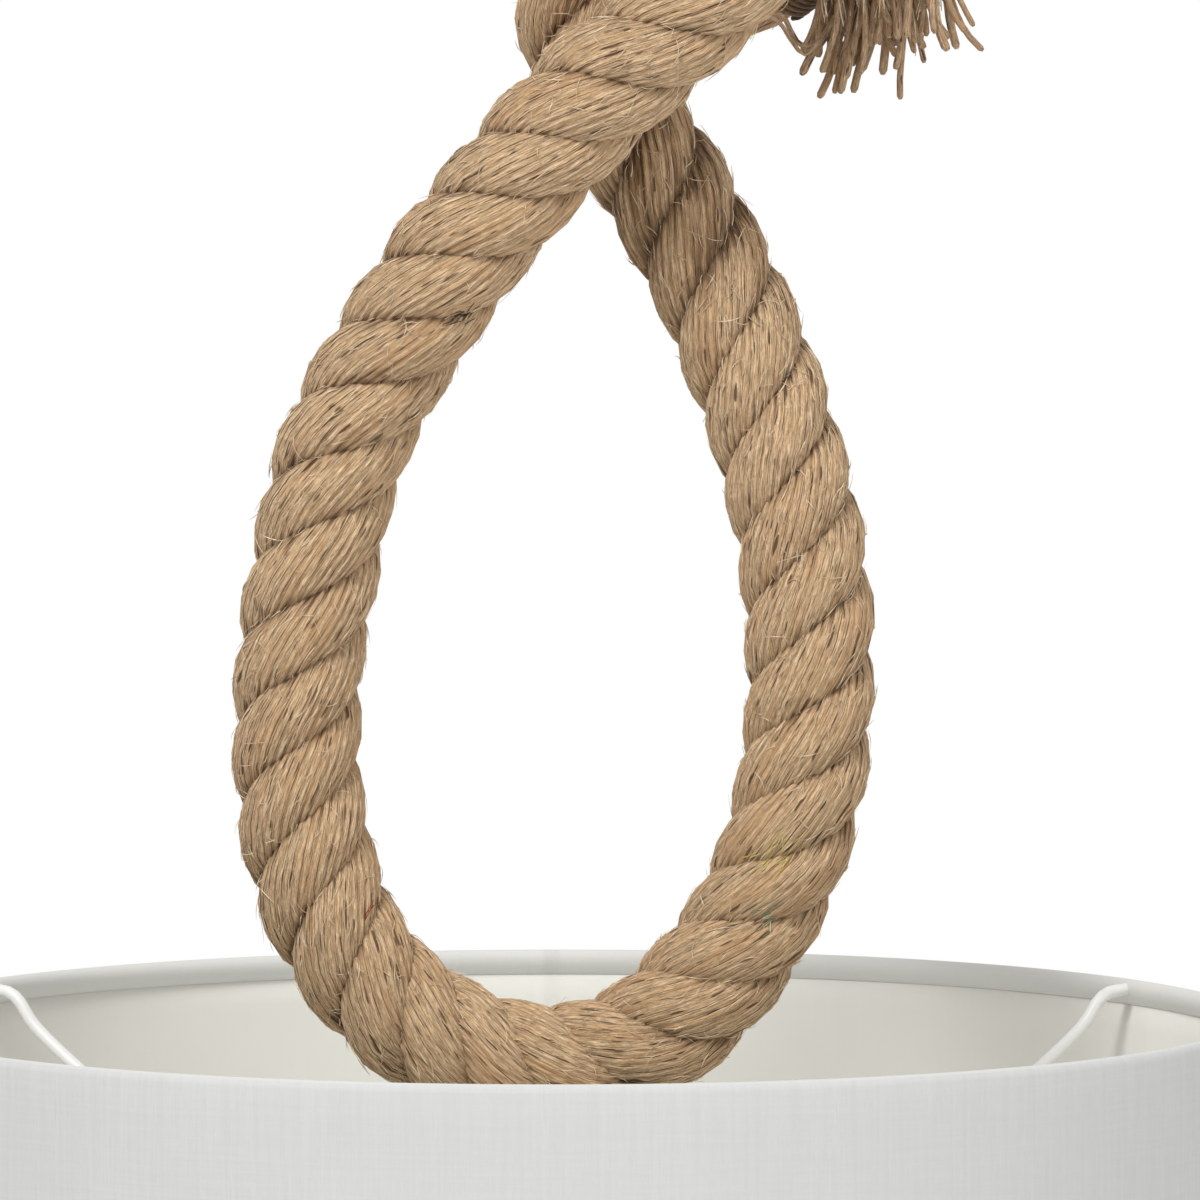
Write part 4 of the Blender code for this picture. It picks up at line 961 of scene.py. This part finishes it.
def makeHolder():
    c = holderSet
    radius = c["radius"]
    capLow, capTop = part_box("holder_cap")[0].z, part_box("holder_cap")[1].z
    inner = radius - c["wall"]
    profile = [(c["hole"], capTop), (c["neck"], capTop), (c["neck"], capTop - 0.004), (0.015, capTop - 0.008),
               (radius, capTop - 0.014), (radius, capLow), (inner, capLow), (inner, capTop - 0.015),
               (0.013, capTop - 0.0108), (c["hole"], capTop - 0.009)]
    standIn("holderCap", turnedShape(rounded(profile, 0.0009), 120), plastic, "holder_cap")
    low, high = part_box("holder_body")[0].z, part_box("holder_body")[1].z
    rows = [(c["bore"], high), (c["flange"] - 0.001, high), (c["flange"], high - 0.001),
            (c["flange"], high - 0.006), (radius, high - 0.006)]
    rows += [(radius - c["threadDepth"] * (k % 2), high - 0.008 - k * c["threadPitch"]) for k in range(14)]
    rows += [(radius, low + 0.001), (radius - 0.001, low), (c["bore"], low)]
    standIn("holderBody", turnedShape(rounded(rows, 0.0004), 120), plastic, "holder_body")
    low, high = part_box("shade_ring")[0].z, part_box("shade_ring")[1].z
    ring = rounded([(c["ringBore"], high), (c["ring"], high), (c["ring"], low + 0.001), (c["ring"] - 0.001, low),
                    (c["ringBore"], low)], 0.0006)

    def ribs(theta, radius, height):
        groove = np.exp(-((((theta * c["ribs"] / math.tau + 0.5) % 1) - 0.5) / 0.17) ** 2)
        return np.where(radius > c["ring"] - 0.0015, radius - c["rib"] * groove, radius)

    ring = divided(ring + ring[:1], 0.0012)[:-1]
    standIn("shadeRing", turnedShape(ring, 288, True, ribs), plastic, "shade_ring")
    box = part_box("cord_inlet")
    middle = (box[0].z + box[1].z) / 2
    near, far = box[0].y, box[1].y
    inlet = rounded([(c["inletBore"], far), (0.0052, far), (c["inlet"], far - 0.0015), (c["inlet"], 0.0201),
                     (0.0045, 0.0201), (0.0045, near), (c["inletBore"], near)], 0.0004)
    points, faces = turnedShape(inlet, 64)
    standIn("cordInlet", (laidAlong(points, (0, 0, middle), (0, 1, 0)), faces), plastic, "cord_inlet")


lampSet = {"cap": 0.0131, "pitch": 0.0036, "depth": 0.0007, "radius": 0.030, "length": 0.080, "wall": 0.001}


def makeLamp():
    c = lampSet
    low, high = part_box("lamp_cap")[0].z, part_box("lamp_cap")[1].z
    rows = [(0, high), (0.0058, high), (c["cap"] * 0.93, high - 0.0035)]
    rows += [(c["cap"], z) for z in np.linspace(high - 0.0042, low + 0.0030, 60)]
    rows += [(c["cap"], low + 0.0025), (c["cap"], low), (0, low)]

    def thread(theta, radius, height):
        wave = 0.5 + 0.5 * np.cos(math.tau * (height / c["pitch"] + theta / math.tau))
        on = (radius > c["cap"] * 0.99) & (height < high - 0.004) & (height > low + 0.0029)
        return np.where(on, radius - c["depth"] * wave, radius)

    standIn("lampCap", turnedShape(rows, 96, False, thread), nickel, "lamp_cap")
    neck, top = c["cap"] - 0.0009, lampNeck
    bulge = top - c["length"] + c["radius"]
    shoulder = top - 0.010
    wide = neck * 1.06
    outside = [(neck, top), (wide, shoulder)]
    for share in np.linspace(0.08, 0.92, 12):
        outside.append((wide + (c["radius"] - wide) * (1 - math.cos(math.pi * share)) / 2,
                        shoulder + (bulge - shoulder) * share))
    quarter = np.linspace(0, math.pi / 2, 16)
    outside += [(c["radius"] * math.cos(a), bulge - c["radius"] * math.sin(a)) for a in quarter]
    thickened = bulge - 0.9 * c["radius"]
    inside = [(max(r - c["wall"], 0), z + (c["wall"] if z < thickened else 0)) for r, z in outside]
    inside[-1] = (0, bulge - c["radius"] + c["wall"])
    standIn("lampGlass", turnedShape(outside[::-1] + inside, 96, False), opal, "lamp_glass")


makeCeilingSet()
makeShackle()
makeEye()
makeRopeCap()
makeHolder()
makeLamp()
plain = {"rope_saddle": blackSteel, "terminal_block": ceramic, "centre_contact": brass, "threaded_shell": brass,
         "lamp_contact": brass, **{f"saddle_screw_{k}": blackSteel for k in (1, 2, 3, 4)}}
for node, finish in plain.items():
    frame["nodes"][node].data.materials[0] = finish.material
print("hardware, lampholder and lamp are in")

# ---- the shade
shade = {"radius": 0.210, "fabric": 0.0008, "gap": 0.0003, "wire": 0.0015, "liner": 0.0007, "sides": 240,
         "ripple": 0.00012, "rippled": 0.0011, "armWire": 0.002, "hub": 0.034, "hubBore": 0.0201,
         "hem": ((0.0003, 0.0080), (-0.0006, 0.0069), (-0.0017, 0.0054), (-0.0024, 0.0040))}
# pale and dark tones of the linen; the paler tone for the turned-in hem is painted light
linenTone = {"pale": (0.572, 0.577, 0.566), "dark": (0.532, 0.536, 0.525), "turned": (0.68, 0.68, 0.65),
             "depth": 0.00014}


def linenFinish():
    c = linenTone
    finish = Finish("shade_linen", Roughness=0.9, Specular_IOR_Level=0.2, Sheen_Weight=0.06)
    cloth = finish.value("cloth", "Vector")
    slub = finish.noise(finish.scaled(cloth, 620, 22, 1), 1.0, 2, 0.55)
    weft = finish.noise(finish.scaled(cloth, 30, 900, 1), 1.0, 2, 0.5)
    fine = finish.noise(finish.scaled(cloth, 2200, 240, 1), 1.0, 2, 0.6)
    broad = finish.noise(finish.scaled(cloth, 60, 5, 1), 1.0, 2, 0.5)
    weave = slub * 0.45 + weft * 0.25 + fine * 0.3
    toned = finish.mix(finish.step(weave, 0.34, 0.66), c["dark"], c["pale"])
    thick = finish.step(slub, 0.66, 0.78)
    outside = finish.mix(finish.step(broad, 0.35, 0.7, 0, 0.25) + thick * 0.25, toned, c["dark"])
    # painted light: the turned-in hem gets a paler tone than the same linen outside
    finish.wears(Base_Color=finish.mix(finish.part(cloth, "Z") * 0.85, outside, c["turned"]))
    return finish.relief(weave + thick * 0.6, c["depth"])


def linerFinish():
    finish = Finish("shade_liner", Roughness=0.62, Specular_IOR_Level=0.3)
    cloth = finish.value("cloth", "Vector")
    cloud = finish.noise(finish.scaled(cloth, 18, 9, 1), 1.0, 3, 0.5)
    show = finish.noise(finish.scaled(cloth, 520, 26, 1), 1.0, 2, 0.5)
    finish.wears(Base_Color=finish.mix(cloud * 0.5 + show * 0.5, (0.75, 0.745, 0.688), (0.785, 0.78, 0.722)))
    return finish.relief(show * 0.5 + cloud, 0.0001)


def wireFinish():
    finish = Finish("white_wire", Roughness=0.4, Specular_IOR_Level=0.5)
    where = finish.place()
    peel = finish.noise(where, 700, 2, 0.5)
    soil = finish.step(finish.noise(where, 60, 4, 0.6), 0.55, 0.8)
    finish.wears(Base_Color=finish.mix(soil * 0.5, (0.80, 0.80, 0.78), (0.66, 0.65, 0.61)),
                 Roughness=0.38 + soil * 0.15)
    return finish.relief(peel, 0.00006)


def addCloth(piece):  # how far round and how high each point is, in metres, and whether it's turned in, which gets painted light
    spots = np.array([v.co[:] for v in piece.data.vertices])
    around = (np.arctan2(-spots[:, 1], spots[:, 0]) + math.pi / 2 + math.tau) % math.tau
    field = piece.data.attributes.new("cloth", "FLOAT_VECTOR", "POINT")
    turned = np.clip((shade["radius"] - 0.0012 - np.hypot(spots[:, 0], spots[:, 1])) / 0.0008, 0, 1)
    values = np.stack([around * shade["radius"], spots[:, 2], turned], 1)
    field.data.foreach_set("vector", values.astype(np.float32).ravel())


def arcRows(middle, radius, start, end, centre, count=9):
    angles = np.radians(np.linspace(start, end, count))
    return [(centre + radius * math.cos(a), middle + radius * math.sin(a)) for a in angles]


def makeShade():
    c = shade
    ringRadius = c["radius"] - c["fabric"] - c["gap"] - c["wire"]
    roll = c["wire"] + c["gap"] + c["fabric"]
    inward = roll - c["fabric"]
    high, low = rim - roll, shadeBottom + roll
    down = np.linspace(high, low, 26)[1:-1]
    tail = [(ringRadius + out, drop) for out, drop in c["hem"]]  # the turned edge, back down to the wall
    over = [(r + c["fabric"], drop) for r, drop in tail[:0:-1]]
    over.append((tail[0][0] + c["fabric"] * 0.2, tail[0][1]))
    profile = [(r, rim - drop) for r, drop in tail] + arcRows(high, roll, 180, 0, ringRadius)
    profile += [(c["radius"], z) for z in down] + arcRows(low, roll, 0, -180, ringRadius)
    profile += [(r, shadeBottom + drop) for r, drop in tail[::-1] + over[::-1]]
    profile += arcRows(low, inward, -180, 0, ringRadius)
    profile += [(c["radius"] - c["fabric"], z) for z in down[::-1]]
    profile += arcRows(high, inward, 0, 180, ringRadius) + [(r, rim - drop) for r, drop in over]

    def uneven(theta, radius, height):
        wave = np.sin(theta * 7 + height * 30) + 0.6 * np.sin(theta * 17 - height * 55)
        wave = wave + 0.4 * np.sin(theta * 41)
        return radius + c["ripple"] * wave * (np.abs(radius - c["radius"]) < c["rippled"])

    points, faces = turnedShape(profile, c["sides"], True, uneven)
    skin = makePiece("shadeCloth", points, faces, linen, "shade", tidy=True)
    addCloth(skin)
    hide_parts("shade_fabric")
    outer = c["radius"] - c["fabric"] - c["gap"] - 0.0003
    wall = np.linspace(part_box("shade_liner")[1].z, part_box("shade_liner")[0].z, 22)
    rows = [(outer - c["liner"], z) for z in wall] + [(outer, z) for z in wall[::-1]]
    piece = makePiece("shadeLiner", *turnedShape(rows, c["sides"]), liner, "shade", tidy=True)
    addCloth(piece)
    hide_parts("shade_liner")
    for name, node in (("topRing", "top_ring"), ("bottomRing", "bottom_ring")):
        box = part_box(node)
        middle = (box[0].z + box[1].z) / 2
        rows = arcRows(middle, c["wire"], 0, 330, ringRadius, 12)
        standIn(name, turnedShape(rows, c["sides"]), whiteWire, node)
    return ringRadius


seam = {"stands": 0.0002, "thick": 0.0006, "columns": 14, "rows": 60}


def makeSeam():  # the lapped seam down the back
    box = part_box("shade_seam")
    wide, count = (box[1].x - box[0].x) / 2, seam["columns"]
    across = np.linspace(-wide, wide, count)
    inner = shade["radius"] + seam["stands"] + np.zeros(count)
    edge = np.clip((wide - np.abs(across)) / seam["thick"], 0.15, 1)
    outer = inner + seam["thick"] * np.sqrt(edge)
    heights = np.linspace(box[1].z, box[0].z, seam["rows"])
    rings = []
    for z in heights:
        wave = 0.0002 * math.sin(z * 90) + 0.0001 * math.sin(z * 310)
        for x, r in [*zip(across, outer), *zip(across[::-1], inner)]:
            rings.append((r * math.sin((x + wave) / r), r * math.cos((x + wave) / r), z))
    sides = 2 * count
    faces = [tuple(f) for f in ringFaces(len(heights), sides)]
    faces += [tuple(range(sides)), tuple(range((len(heights) - 1) * sides, len(heights) * sides))]
    piece = makePiece("shadeSeam", rings, faces, linen, "shade", tidy=True)
    addCloth(piece)
    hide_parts("shade_seam")


armRises = ((0.935, 0.95), (0.9, 0.86), (0.81, 0.72), (0.71, 0.59), (0.5, 0.36), (0.25, 0.13), (0.12, 0.04))


def makeSpider(ringRadius):
    c = shade
    low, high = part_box("spider_hub")[0].z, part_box("spider_hub")[1].z
    hub = rounded([(c["hubBore"], high), (c["hub"], high), (c["hub"], low), (c["hubBore"], low)], 0.0005)
    standIn("spiderHub", turnedShape(hub, 120), whiteWire, "spider_hub")
    inside = ringRadius - c["wire"] - c["gap"]
    ringHeight = rim - c["wire"] - c["gap"] - c["fabric"]
    wireHeight = high + c["gap"] + c["armWire"]
    drop, span = ringHeight - wireHeight, inside - c["hub"]
    for index in range(3):
        angle = math.radians(30 + index * 120)
        shape = [(inside - 0.0005, ringHeight - 0.0005), (inside - 0.007, ringHeight - 0.0012)]
        shape += [(c["hub"] + span * t, wireHeight + drop * rise) for t, rise in armRises]
        shape += [(c["hub"], wireHeight), (0.0265, wireHeight)]
        route = [(r * math.cos(angle), r * math.sin(angle), z) for r, z in shape]
        arm = bentShape(smoothLine(route, 0.003)[0], c["armWire"], 20, (0, 0, 1.0))
        standIn(f"spiderArm{index + 1}", arm, whiteWire, f"spider_arm_{index + 1}")


linen = linenFinish()
liner = linerFinish()
whiteWire = wireFinish()
wireRadius = makeShade()
makeSeam()
makeSpider(wireRadius)
print("shade is on")
